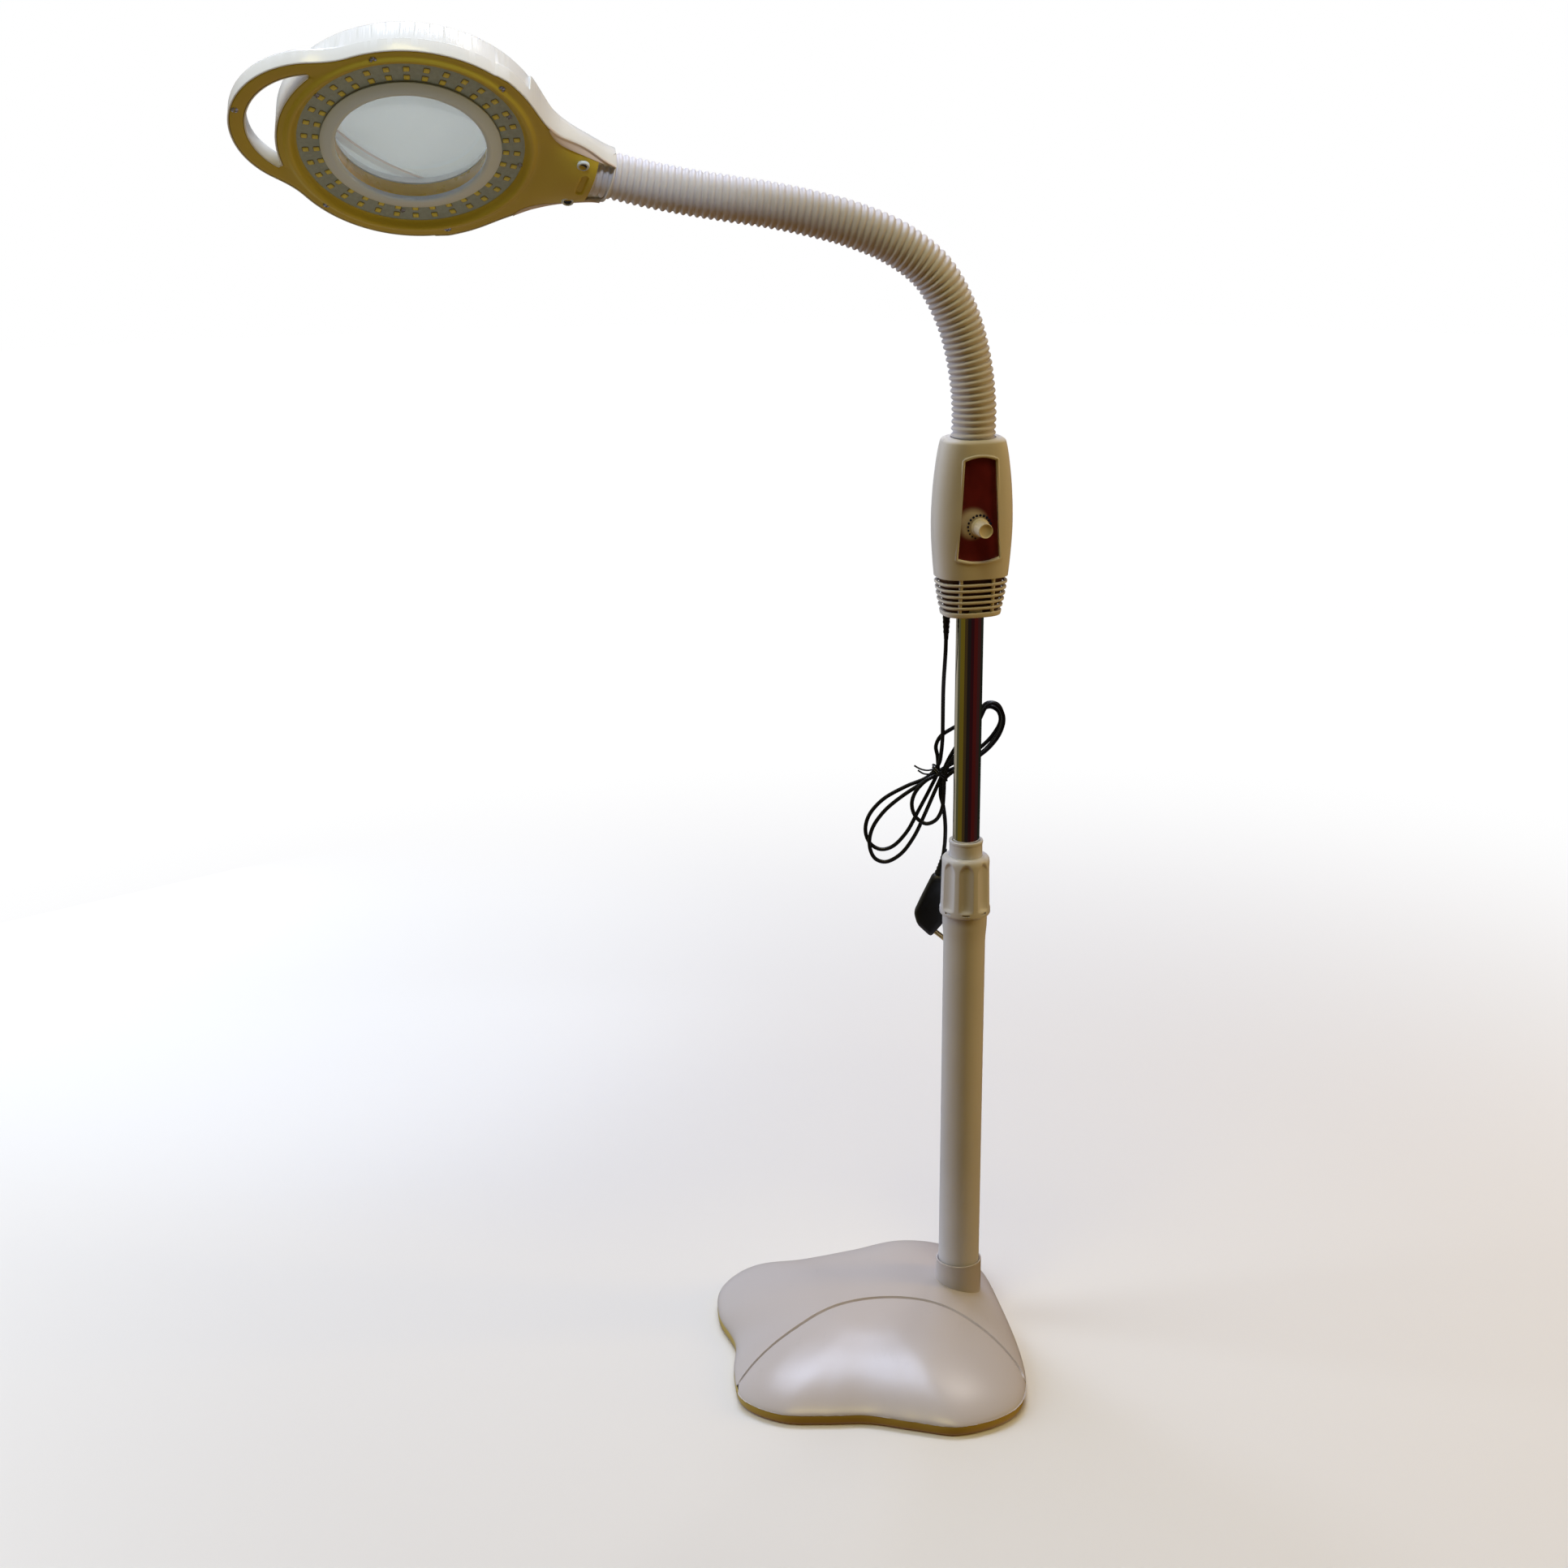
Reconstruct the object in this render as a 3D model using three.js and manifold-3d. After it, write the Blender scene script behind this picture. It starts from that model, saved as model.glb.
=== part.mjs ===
// Floor-standing magnifying lamp with a ring of LEDs, a gooseneck, a telescopic pole
// and a weighted lobed base. Millimetres, +Z up. The origin is on the floor, on the
// pole's axis. -Y is the front, and the head reaches out towards -X.
import * as THREE from "three";
import { mergeVertices } from "three/addons/utils/BufferGeometryUtils.js";
import Module from "manifold-3d";

const wasm = await Module();
wasm.setup();

// ---- driving dimensions -------------------------------------------------------

const GAP = 0.3; // clearance between two pieces that touch
const TAU = 2 * Math.PI;

// Base: a lobed plastic dome over a cast-iron weight.
const BASE_CENTRE = [-75, -50];
const BASE_OUTLINE = [
  [57, -128], [45, -170], [4, -196], [-34, -191], [-70, -184], [-106, -187],
  [-140, -187], [-172, -167], [-184, -124], [-187, -80], [-205, -34], [-208, 12],
  [-188, 46], [-146, 60], [-98, 82], [-52, 105], [-12, 100], [17, 66], [35, 8],
];
const BASE_RIM = 9; // height of the vertical band round the edge
const BASE_RISE = 32; // from the band to the dome's highest point
const BASE_WALL = 2.8;
const BASE_SKIRT = 1.2; // the shell stops this far above the floor
const BOSS_RADIUS = 19.1; // collar that the pole stands in
const BOSS_TOP = 55;
const FOOT_HEIGHT = 2.3;
const FEET = {
  foot_pole: [0, 0],
  foot_back: [-45, 70],
  foot_left: [-170, 8],
  foot_front_left: [-142, -145],
  foot_front_right: [12, -150],
};

// Pole: a plastic lower tube, a twist lock and a chromed mast that slides in it.
const TUBE_RADIUS = 17.3;
const TUBE_BORE = 15.6;
const TUBE_BOTTOM = 18;
const TUBE_SHOULDER = 373; // top of the flared mouth, where the lock nut begins
const TUBE_TOP = 416;
const MAST_RADIUS = 11;
const MAST_BORE = 10;
const MAST_BOTTOM = 236;
const MAST_TOP = 656;
const NUT_BOTTOM = 374;
const NUT_TOP = 424;
const NUT_RADIUS = 20.9; // at its lower rim
const NUT_SHOULDER = 19.1; // at its top
const NUT_FLUTES = 12;
const COLLAR_TOP = 440;
const COLLAR_RADIUS = 13.6;

// Control box: a barrel of rounded-rectangle sections on top of the mast.
const BOX_TURN = THREE.MathUtils.degToRad(18); // its front looks a little to the right
const BOX_BOTTOM = 627.7;
const BOX_TOP = 769.5;
const BOX_HALF_WIDTH = 31.8;
const BOX_HALF_DEPTH = 22;
const BOX_SQUARENESS = 2.8; // exponent of the superellipse section
const BOX_WALL = 2.2;
const BOX_PROFILE = [ // share of the height, of the width and of the depth
  [0, 0.73, 0.8], [0.12, 0.845, 0.87], [0.28, 0.94, 0.94], [0.5, 1, 1],
  [0.7, 0.97, 0.995], [0.88, 0.88, 0.965], [0.98, 0.79, 0.93], [1, 0.74, 0.89],
];
const GRILLE_SLOTS = 6;
const GRILLE_PITCH = 4.9;
const GRILLE_SLOT = 2.5;
const GRILLE_FIRST = 633.2;
const PANEL = { bottom: 675.5, top: 757, halfBottom: 17, halfTop: 12.6, arch: 3 };
const KNOB_HEIGHT = 701.6;
const KNOB_LENGTH = 16;
const KNOB_FOOT = 7.3;
const KNOB_FACE = 5.8;

// Gooseneck: the line of its centre, from inside the box to inside the head's neck.
const NECK_LINE = [
  [0, 0, 745], [0, 0, 770], [0, 0, 795], [-5, -0.7, 832], [-15, -2, 865],
  [-33, -4.6, 896], [-60, -8.4, 917.5], [-93, -13, 932], [-125, -17.5, 941],
  [-155, -21.5, 947.5], [-186, -25.5, 952.5], [-216, -29, 957.5], [-246, -32.6, 963.5],
  [-276, -38.4, 971], [-303.4, -48.7, 977.8],
].map((p) => new THREE.Vector3(...p));
const NECK_RADIUS = 17.5;
const NECK_BORE = 14.2;
const CORE_RADIUS = 12.4;
const CORE_BORE = 10.6;
const FERRULE_RADIUS = 9.3; // tube that stands up inside the gooseneck's lower end
const NECK_JOINTS = [70, 145, 220, 295, 370]; // distances along the line
const NECK_RELIEF = 3.9; // each section stops this far short of a joint
const NECK_INTO_BOX = 12; // the first section starts here on the line
const NECK_INTO_HEAD = 12; // and the last one goes this deep into the head

// Head: its own frame has X towards the handle, Z out of its back, and the origin at
// the middle of the lamp's underside.
const HEAD_CENTRE = new THREE.Vector3(-411, -100, 995);
const HEAD_TURN = THREE.MathUtils.degToRad(20.7); // towards the front
const HEAD_RISE = THREE.MathUtils.degToRad(13.1); // handle end up
const HEAD_ROLL = THREE.MathUtils.degToRad(44.4); // underside turned to the front
const HEAD_RADIUS = 98;
const HEAD_SPLIT = 8; // the lower cover meets the upper shell here
const HEAD_DEPTH = 29;
const HEAD_WALL = 2.2;
const HANDLE_CENTRE = 66;
const HANDLE_OUTER = 66;
const HANDLE_INNER = 53;
const NECK_END = -150;
const NECK_AXIS = 14; // height of the gooseneck's axis above the underside
const BOARD_OUTER = 86;
const BOARD_INNER = 62.5;
const COVER_OUTER = 88;
const BEZEL_OUTER = 61.9;
const BEZEL_BORE = 56;
const LENS_RADIUS = 60;
const LENS_EDGE = 3;
const LENS_BULGE = 5;
const LENS_HEIGHT = 17.2;
const FLAP_RADIUS = 70;
const HINGE_X = -76;
const HEAD_SCREWS = {
  head_screw_tip: [128, 0],
  head_screw_handle_left: [45.5, 78.5],
  head_screw_handle_right: [45.5, -78.5],
  head_screw_neck_left: [-46.5, 78],
  head_screw_neck_right: [-46.5, -78],
  neck_screw_left: [-124, 20],
  neck_screw_right: [-124, -20],
};

// Mains lead: it leaves the box's underside, hangs behind the mast in a tied hank and
// ends in a flat two-pin plug behind the lower tube.
const LEAD_RADIUS = 1.5;
const LEAD_DROP = [
  [-18.8, -1.5, 605.5], [-18.9, -1.2, 598], [-19.4, 2, 586], [-20.1, 9, 572],
  [-20.5, 16, 558], [-20.6, 21.5, 543], [-20.6, 25, 529], [-20.7, 26.5, 518.6],
].map((p) => new THREE.Vector3(...p));
const LEAD_TAIL = [
  [-19.3, 29, 457], [-17.4, 29.2, 440], [-17.5, 29.6, 424],
  [-19, 30, 410], [-21, 30, 396.8],
].map((p) => new THREE.Vector3(...p));
const HANK_FROM = [-70, 428]; // ends of the hank's middle line, X and Z
const HANK_TO = [12, 527];
const HANK_RADIUS = 18;
const HANK_DEPTH = [23.5, 37];
const PLUG_ENTRY = [-21, 396.5];
const PLUG_OUTLINE = [
  [-6, 0], [-15.5, -20.5], [-21.6, -34.8], [-20.3, -40.5], [-18.4, -46], [-7.1, -56.6],
  [11.8, -33], [9, -17], [4.5, 0],
];
const PLUG_DEPTH = [23.6, 37];
const PIN_LENGTH = 19;
const PIN_SPACING = 19;

// ---- solids ---------------------------------------------------------------------

// A closed geometry as a solid, with its faces pointing out.
function solid(geometry) {
  const bare = geometry.index ? geometry.toNonIndexed() : geometry.clone();
  for (const name of Object.keys(bare.attributes)) {
    if (name !== "position") bare.deleteAttribute(name);
  }
  const merged = mergeVertices(bare, 1e-4);
  const points = merged.attributes.position.array;
  const corners = [];
  let volume = 0;
  const [a, b, c] = [new THREE.Vector3(), new THREE.Vector3(), new THREE.Vector3()];
  for (let i = 0; i < merged.index.count; i += 3) {
    const face = [0, 1, 2].map((k) => merged.index.getX(i + k));
    if (new Set(face).size < 3) continue;
    corners.push(...face);
    [a, b, c].forEach((v, k) => v.fromArray(points, 3 * face[k]));
    volume += a.dot(b.clone().cross(c));
  }
  if (volume < 0) {
    for (let i = 0; i < corners.length; i += 3) {
      [corners[i], corners[i + 1]] = [corners[i + 1], corners[i]];
    }
  }
  return new wasm.Manifold(
    new wasm.Mesh({
      numProp: 3,
      vertProperties: new Float32Array(points),
      triVerts: new Uint32Array(corners),
    }),
  );
}

function piece(name, body, material) {
  const cut = body.getMesh();
  const geometry = new THREE.BufferGeometry();
  const points = new THREE.BufferAttribute(new Float32Array(cut.vertProperties), 3);
  geometry.setAttribute("position", points);
  geometry.setIndex(new THREE.BufferAttribute(new Uint32Array(cut.triVerts), 1));
  geometry.computeVertexNormals();
  const mesh = new THREE.Mesh(geometry, material);
  mesh.name = name;
  return mesh;
}

function unite(first, ...rest) {
  return rest.reduce((sum, next) => sum.add(next), first);
}

function cut(first, ...rest) {
  return rest.reduce((sum, next) => sum.subtract(next), first);
}

// A profile of [radius, height] points turned about Z.
function turned(profile, sides = 24) {
  const points = profile.map(([r, z]) => new THREE.Vector2(r, z));
  return solid(new THREE.LatheGeometry(points, sides).rotateX(Math.PI / 2));
}

// A straight-sided tube about Z: its profile closes on itself.
function tube(outer, inner, from, to, sides = 24) {
  return turned([[inner, from], [outer, from], [outer, to], [inner, to], [inner, from]], sides);
}

function rod(radius, from, to, x = 0, y = 0, sides = 16) {
  const geometry = new THREE.CylinderGeometry(radius, radius, to - from, sides);
  geometry.rotateX(Math.PI / 2).translate(x, y, (from + to) / 2);
  return solid(geometry);
}

function block(width, depth, height, x, y, z) {
  return solid(new THREE.BoxGeometry(width, depth, height).translate(x, y, z));
}

// A rod along Y.
function crossRod(radius, length, x, z, sides = 12) {
  return solid(new THREE.CylinderGeometry(radius, radius, length, sides).translate(x, 0, z));
}

// Skin over a stack of rings with equal point counts, closed by a fan at each end.
function loft(rings) {
  const count = rings[0].length;
  const points = rings.flat();
  const faces = [];
  for (let r = 0; r + 1 < rings.length; r++) {
    for (let i = 0; i < count; i++) {
      const [p, q] = [r * count + i, r * count + ((i + 1) % count)];
      faces.push(p, q, q + count, p, q + count, p + count);
    }
  }
  for (const [ring, start] of [[rings[0], 0], [rings.at(-1), (rings.length - 1) * count]]) {
    const middle = ring.reduce((sum, p) => sum.add(p), new THREE.Vector3());
    points.push(middle.divideScalar(count));
    for (let i = 0; i < count; i++) {
      const [p, q] = [start + i, start + ((i + 1) % count)];
      faces.push(...(start ? [p, q, points.length - 1] : [q, p, points.length - 1]));
    }
  }
  const geometry = new THREE.BufferGeometry().setFromPoints(points);
  geometry.setIndex(faces);
  return solid(geometry);
}

// A flat outline of [x, y] points, standing up from one height to another.
function slab(outline, from, to) {
  const shape = new THREE.Shape(outline.map(([x, y]) => new THREE.Vector2(x, y)));
  const geometry = new THREE.ExtrudeGeometry(shape, { depth: to - from, bevelEnabled: false });
  return solid(geometry.translate(0, 0, from));
}

// The same, with the outline in X and Z and its thickness along Y.
function uprightSlab(outline, from, to) {
  const shape = new THREE.Shape(outline.map(([x, z]) => new THREE.Vector2(x, z)));
  const geometry = new THREE.ExtrudeGeometry(shape, { depth: to - from, bevelEnabled: false });
  return solid(geometry.rotateX(Math.PI / 2).translate(0, to, 0));
}

function swept(curve, radius, steps, sides) {
  const ring = [...Array(sides).keys()].map((i) => {
    const angle = (TAU * i) / sides;
    return new THREE.Vector2(radius * Math.cos(angle), radius * Math.sin(angle));
  });
  const options = { steps, extrudePath: curve, bevelEnabled: false };
  return solid(new THREE.ExtrudeGeometry(new THREE.Shape(ring), options));
}

// The stretch of a curve between two distances along it.
class Stretch extends THREE.Curve {
  constructor(curve, from, to) {
    super();
    this.curve = curve;
    this.from = from / curve.getLength();
    this.to = to / curve.getLength();
  }
  getPoint(t, target = new THREE.Vector3()) {
    return target.copy(this.curve.getPointAt(this.from + t * (this.to - this.from)));
  }
}

// ---- materials --------------------------------------------------------------------

function finish(color, roughness, metalness = 0) {
  return new THREE.MeshStandardMaterial({ color, roughness, metalness });
}

const baseGrey = finish(0xc4bab6, 0.45);
const tubeGrey = finish(0xb4b0a8, 0.5);
const nutGrey = finish(0xcfccc8, 0.45);
const chrome = finish(0xd8d8d8, 0.08, 1);
const steel = finish(0xa9abad, 0.35, 1);
const castIron = finish(0x3a3b3d, 0.8, 0.4);
const boxIvory = finish(0xcfc9bd, 0.45);
const panelMaroon = finish(0x4a0d12, 0.4);
const knobIvory = finish(0xe6e0cf, 0.5);
const sleeveWhite = finish(0xdcd8dc, 0.55);
const shellWhite = finish(0xf2f2f0, 0.3);
const coverKhaki = finish(0x9a8638, 0.4);
const boardGrey = finish(0x8f9188, 0.6);
const clearPlastic = new THREE.MeshStandardMaterial({
  color: 0xe8ebe6, roughness: 0.1, transparent: true, opacity: 0.35,
});
const lensGlass = new THREE.MeshStandardMaterial({
  color: 0xf2f6f4, roughness: 0.02, transparent: true, opacity: 0.25,
});
const rubber = finish(0x1b1c1e, 0.8);
const boardGreen = finish(0x24563a, 0.6);

// ---- base ---------------------------------------------------------------------------

const baseCurve = new THREE.CatmullRomCurve3(
  BASE_OUTLINE.map(([x, y]) => new THREE.Vector3(x, y, 0)), true, "centripetal",
);

// The base's plan, drawn in from its edge by a distance and then shrunk to a share.
function basePlan(count, inset, share, z) {
  const centre = new THREE.Vector3(...BASE_CENTRE, 0);
  return [...Array(count).keys()].map((i) => {
    const out = baseCurve.getPoint(i / count).sub(centre);
    out.multiplyScalar((1 - inset / out.length()) * share).add(centre);
    return out.setZ(z);
  });
}

function domeHeight(share) {
  return BASE_RIM + BASE_RISE * (1 - share ** 2.4) ** 0.625;
}

function dome(count, rings, inset, bottom, drop) {
  const stack = [basePlan(count, inset, 1, bottom)];
  for (let k = 0; k < rings; k++) {
    const share = Math.cos((Math.PI / 2) * (k / rings));
    stack.push(basePlan(count, inset, share, domeHeight(share) - drop));
  }
  return loft(stack);
}

function makeBase() {
  const boss = rod(BOSS_RADIUS, TUBE_BOTTOM + 1, BOSS_TOP, 0, 0, 24);
  const shell = cut(
    unite(
      cut(dome(57, 7, 0, BASE_SKIRT, 0), dome(38, 4, BASE_WALL, 0, BASE_WALL)),
      boss,
    ),
    rod(TUBE_RADIUS + GAP, 0, BOSS_TOP + 1, 0, 0, 24),
  );
  const weight = cut(
    loft([basePlan(38, 16, 1, 5.3), basePlan(38, 18, 1, 17)]),
    rod(9, 4, 11, 0, 0, 24),
    rod(4.4, 4, 20),
  );
  const cover = cut(
    loft([basePlan(38, 3.4, 1, FOOT_HEIGHT + GAP), basePlan(38, 3.4, 1, 5)]),
    ...Object.values(FEET).slice(1).map(([x, y]) => rod(2, 0, 9, x, y, 10)),
  );
  const bolt = cut(
    unite(rod(7.5, 5.3, 10.6, 0, 0, 20), rod(3.9, 10, 52, 0, 0, 14)),
    rod(3.4, 4, 8.6, 0, 0, 6),
  );
  const plug = tube(TUBE_BORE - 0.2, 4.3, TUBE_BOTTOM, 60, 24);
  return [
    piece("base_shell", shell, baseGrey),
    piece("base_weight", weight, castIron),
    piece("base_cover", cover, rubber),
    piece("pole_bolt", bolt, steel),
    piece("tube_plug", plug, boardGrey),
    ...Object.entries(FEET).map(([name, [x, y]]) =>
      piece(name, rod(9, 0, FOOT_HEIGHT, x, y, 14), rubber),
    ),
  ];
}

// ---- pole ---------------------------------------------------------------------------

function makeNut() {
  const body = turned([
    [TUBE_RADIUS + 0.4, NUT_BOTTOM], [NUT_RADIUS, NUT_BOTTOM],
    [NUT_RADIUS, NUT_BOTTOM + 3], [NUT_SHOULDER + 0.9, NUT_TOP - 8],
    [NUT_SHOULDER, NUT_TOP - 2.5], [NUT_SHOULDER - 1.5, NUT_TOP],
    [COLLAR_RADIUS + GAP, NUT_TOP], [COLLAR_RADIUS + GAP, NUT_TOP - 3],
    [TUBE_RADIUS + 0.4, NUT_TOP - 6.5], [TUBE_RADIUS + 0.4, NUT_BOTTOM],
  ], 24);
  const flutes = [...Array(NUT_FLUTES).keys()].map((i) => {
    const angle = (TAU * (i + 0.5)) / NUT_FLUTES;
    const [x, y] = [24.4 * Math.cos(angle), 24.4 * Math.sin(angle)];
    return rod(4.5, NUT_BOTTOM + 5, NUT_TOP - 4, x, y, 8);
  });
  return cut(body, ...flutes);
}

function makePole() {
  const mouth = TUBE_SHOULDER;
  const lower = turned([
    [TUBE_BORE, TUBE_BOTTOM], [TUBE_RADIUS, TUBE_BOTTOM], [TUBE_RADIUS, mouth - 20],
    [TUBE_RADIUS + 1.2, mouth - 9], [TUBE_RADIUS + 1.2, mouth],
    [TUBE_RADIUS - 0.4, mouth], [TUBE_RADIUS - 0.4, TUBE_TOP], [TUBE_BORE, TUBE_TOP],
    [TUBE_BORE, TUBE_BOTTOM],
  ]);
  const collet = cut(
    turned([
      [MAST_RADIUS + GAP, 396], [TUBE_BORE - GAP, 396], [TUBE_BORE - GAP, 414],
      [COLLAR_RADIUS, TUBE_TOP + 2], [COLLAR_RADIUS, COLLAR_TOP - 1],
      [COLLAR_RADIUS - 0.8, COLLAR_TOP], [MAST_RADIUS + GAP, COLLAR_TOP],
      [MAST_RADIUS + GAP, 396],
    ]),
    block(1.6, 40, 17, 0, 0, 403.5),
  );
  const bush = tube(TUBE_BORE - GAP, MAST_RADIUS + 0.1, MAST_BOTTOM, MAST_BOTTOM + 28, 28);
  return {
    lower: piece("lower_tube", lower, tubeGrey),
    collet: piece("clamp_collet", collet, nutGrey),
    nut: piece("lock_nut", makeNut(), nutGrey),
    bush: piece("guide_bush", bush, boardGrey),
    mast: piece("mast_tube", tube(MAST_RADIUS, MAST_BORE, MAST_BOTTOM, MAST_TOP), chrome),
  };
}

// ---- control box ----------------------------------------------------------------------

// Width and depth of the box's section at a share of its height.
function boxSize(share) {
  const last = BOX_PROFILE.length - 1;
  const next = Math.min(last, Math.max(1, BOX_PROFILE.findIndex((row) => row[0] >= share)));
  const [a, b] = [BOX_PROFILE[next - 1], BOX_PROFILE[next]];
  const t = THREE.MathUtils.clamp((share - a[0]) / (b[0] - a[0]), 0, 1);
  return [1, 2].map((k) => a[k] + t * (b[k] - a[k]));
}

function boxRing(z, inset, count = 24) {
  const [wide, deep] = boxSize((z - BOX_BOTTOM) / (BOX_TOP - BOX_BOTTOM));
  const [a, b] = [wide * BOX_HALF_WIDTH - inset, deep * BOX_HALF_DEPTH - inset];
  const power = 2 / BOX_SQUARENESS;
  return [...Array(count).keys()].map((i) => {
    const [c, s] = [Math.cos((TAU * i) / count), Math.sin((TAU * i) / count)];
    const x = a * Math.sign(c) * Math.abs(c) ** power;
    const y = b * Math.sign(s) * Math.abs(s) ** power;
    return new THREE.Vector3(x, y, z);
  });
}

function barrel(inset, bottom, top) {
  const levels = BOX_PROFILE.map((row) => BOX_BOTTOM + row[0] * (BOX_TOP - BOX_BOTTOM));
  const inside = levels.filter((z) => z > bottom + 1 && z < top - 1);
  return loft([bottom, ...inside, top].map((z) => boxRing(z, inset)));
}

// The control panel's outline: narrower at the top, with arched ends.
function panelOutline(grow) {
  const { bottom, top, halfBottom, halfTop, arch } = PANEL;
  const points = [];
  for (let i = 0; i <= 6; i++) {
    const t = i / 3 - 1;
    points.push([t * (halfBottom + grow), bottom - grow + arch * (t * t - 1)]);
  }
  for (let i = 0; i <= 6; i++) {
    const t = 1 - i / 3;
    points.push([t * (halfTop + grow), top + grow + arch * (1 - t * t)]);
  }
  return points;
}

function grilleSlots() {
  return [...Array(GRILLE_SLOTS).keys()].map((k) =>
    block(70, 17, GRILLE_SLOT, 0, -13.5, GRILLE_FIRST + k * GRILLE_PITCH),
  );
}

function makeBoxShells() {
  const bottom = BOX_BOTTOM;
  const top = BOX_TOP;
  const hollow = barrel(BOX_WALL, bottom + BOX_WALL, top - BOX_WALL);
  const walls = cut(
    barrel(0, bottom, top),
    hollow,
    rod(NECK_RADIUS + GAP, top - 9, top + 1, 0, 0, 32),
    rod(MAST_RADIUS + GAP, bottom - 1, bottom + 9, 0, 0, 32),
    rod(3.3, bottom - 1, bottom + 9, -18.2, 4.5, 12),
  );
  const lip = cut(
    uprightSlab(panelOutline(3), -40, -6).intersect(barrel(-1.1, bottom, top)),
    barrel(1, bottom, top),
  );
  const frontHalf = block(90, 60, 200, 0, -30 - GAP / 2, 700);
  const rearHalf = block(90, 60, 200, 0, 30 + GAP / 2, 700);
  const window = uprightSlab(panelOutline(0), -40, -6);
  const front = cut(unite(walls.intersect(frontHalf), lip), window, ...grilleSlots());
  const screwHeights = [668, 738];
  const holes = screwHeights.map((z) =>
    unite(
      solid(new THREE.CylinderGeometry(1.8, 1.8, 40, 10).translate(0, 12, z)),
      solid(new THREE.CylinderGeometry(3.3, 3.3, 12, 12).translate(0, 22.8, z)),
    ),
  );
  const posts = screwHeights.map((z) =>
    solid(new THREE.CylinderGeometry(4.8, 4.8, 8, 12).translate(0, 18.6, z)).intersect(
      barrel(0.4, bottom, top),
    ),
  );
  const rear = cut(unite(walls.intersect(rearHalf), ...posts), ...holes);
  const screws = screwHeights.map((z, i) => {
    const head = solid(new THREE.CylinderGeometry(3, 3, 2, 12).translate(0, 18.1, z));
    const shank = solid(new THREE.CylinderGeometry(1.5, 1.5, 7.5, 8).translate(0, 13.6, z));
    return piece(["box_screw_bottom", "box_screw_top"][i], unite(head, shank), steel);
  });
  return [
    piece("box_front_shell", front, boxIvory),
    piece("box_rear_shell", rear, boxIvory),
    ...screws,
  ];
}

// Front face of the panel, at the knob.
const panelFront = -(BOX_HALF_DEPTH - 1.6);

function makePanel() {
  const plate = cut(
    uprightSlab(panelOutline(-GAP), -40, -6).intersect(barrel(1.6, BOX_BOTTOM, BOX_TOP)),
    barrel(3.4, BOX_BOTTOM, BOX_TOP),
  );
  const hole = solid(new THREE.CylinderGeometry(3.7, 3.7, 30, 16).translate(0, -20, KNOB_HEIGHT));
  return piece("control_panel", cut(plate, hole), panelMaroon);
}

// A profile of [radius, distance in front of the panel] points turned about the knob's axis.
function turnedForward(profile, sides = 24) {
  const points = profile.map(([r, y]) => new THREE.Vector2(r, y));
  const geometry = new THREE.LatheGeometry(points, sides).rotateZ(Math.PI);
  return solid(geometry.translate(0, panelFront, KNOB_HEIGHT));
}

function makeKnob() {
  const knob = cut(
    turnedForward([
      [0, KNOB_LENGTH - 0.6], [KNOB_FACE - 1, KNOB_LENGTH - 0.6],
      [KNOB_FACE - 0.7, KNOB_LENGTH], [KNOB_FACE, KNOB_LENGTH - 0.4],
      [KNOB_FACE + 0.5, 3], [KNOB_FOOT, 2.4], [KNOB_FOOT, 0.6],
      [5.6, 0.6], [5.6, 4.6], [3.2, 4.6], [3.2, 12.2], [0, 12.2],
    ]),
  );
  const shaft = turnedForward([[0, -3], [3, -3], [3, 12], [0, 12]], 16);
  return [piece("dimmer_knob", knob, knobIvory), piece("pot_shaft", shaft, steel)];
}

function makeBoxInside() {
  const pot = cut(
    unite(
      turnedForward([[0, -12], [8.2, -12], [8.2, -2.6], [0, -2.6]]),
      turnedForward([[0, -4], [3.4, -4], [3.4, 2.8], [0, 2.8]], 16),
      turnedForward([[0, 0.3], [5, 0.3], [5, 2.2], [0, 2.2]], 6),
    ),
    turnedForward([[0, -3.3], [3.2, -3.3], [3.2, 4], [0, 4]], 16),
  );
  const board = unite(
    block(34, 1.6, 62, 0, 6, 703),
    block(12, 9, 14, 8, 1.2, 690),
    block(9, 7, 9, -9, 2.2, 722),
    rodAcross(4, 9, -9, 1.2, 690),
  );
  const socket = unite(
    tube(MAST_RADIUS + 3, MAST_RADIUS + GAP, 632, 662, 24),
    tube(MAST_RADIUS + 4.5, MAST_RADIUS + GAP, 630.3, 634, 24),
  );
  const ferrule = unite(
    tube(FERRULE_RADIUS, FERRULE_RADIUS - 1.6, 741, 768, 16),
    tube(FERRULE_RADIUS + 4, FERRULE_RADIUS - 1.6, 741, 745, 16),
  );
  return [
    piece("potentiometer", pot, steel),
    piece("driver_board", board, boardGreen),
    piece("mast_socket", socket, boardGrey),
    piece("neck_ferrule", ferrule, steel),
  ];
}

// A short can standing out of the driver board towards the front.
function rodAcross(radius, length, x, y, z) {
  return solid(new THREE.CylinderGeometry(radius, radius, length, 14).translate(x, y, z));
}

function makeGland() {
  const exit = turned([
    [LEAD_RADIUS + 0.2, BOX_BOTTOM - 22], [LEAD_RADIUS + 0.7, BOX_BOTTOM - 22],
    [3, BOX_BOTTOM - GAP], [3, BOX_BOTTOM + 4], [LEAD_RADIUS + 0.2, BOX_BOTTOM + 4],
    [LEAD_RADIUS + 0.2, BOX_BOTTOM - 22],
  ], 14);
  const gland = piece("cord_gland", exit, rubber);
  gland.position.set(-18.2, 4.5, 0);
  return gland;
}

function makeControlBox() {
  const box = new THREE.Group();
  box.rotation.z = BOX_TURN;
  box.add(...makeBoxShells(), makePanel(), ...makeKnob(), ...makeBoxInside(), makeGland());
  return box;
}

// ---- gooseneck --------------------------------------------------------------------------

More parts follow.
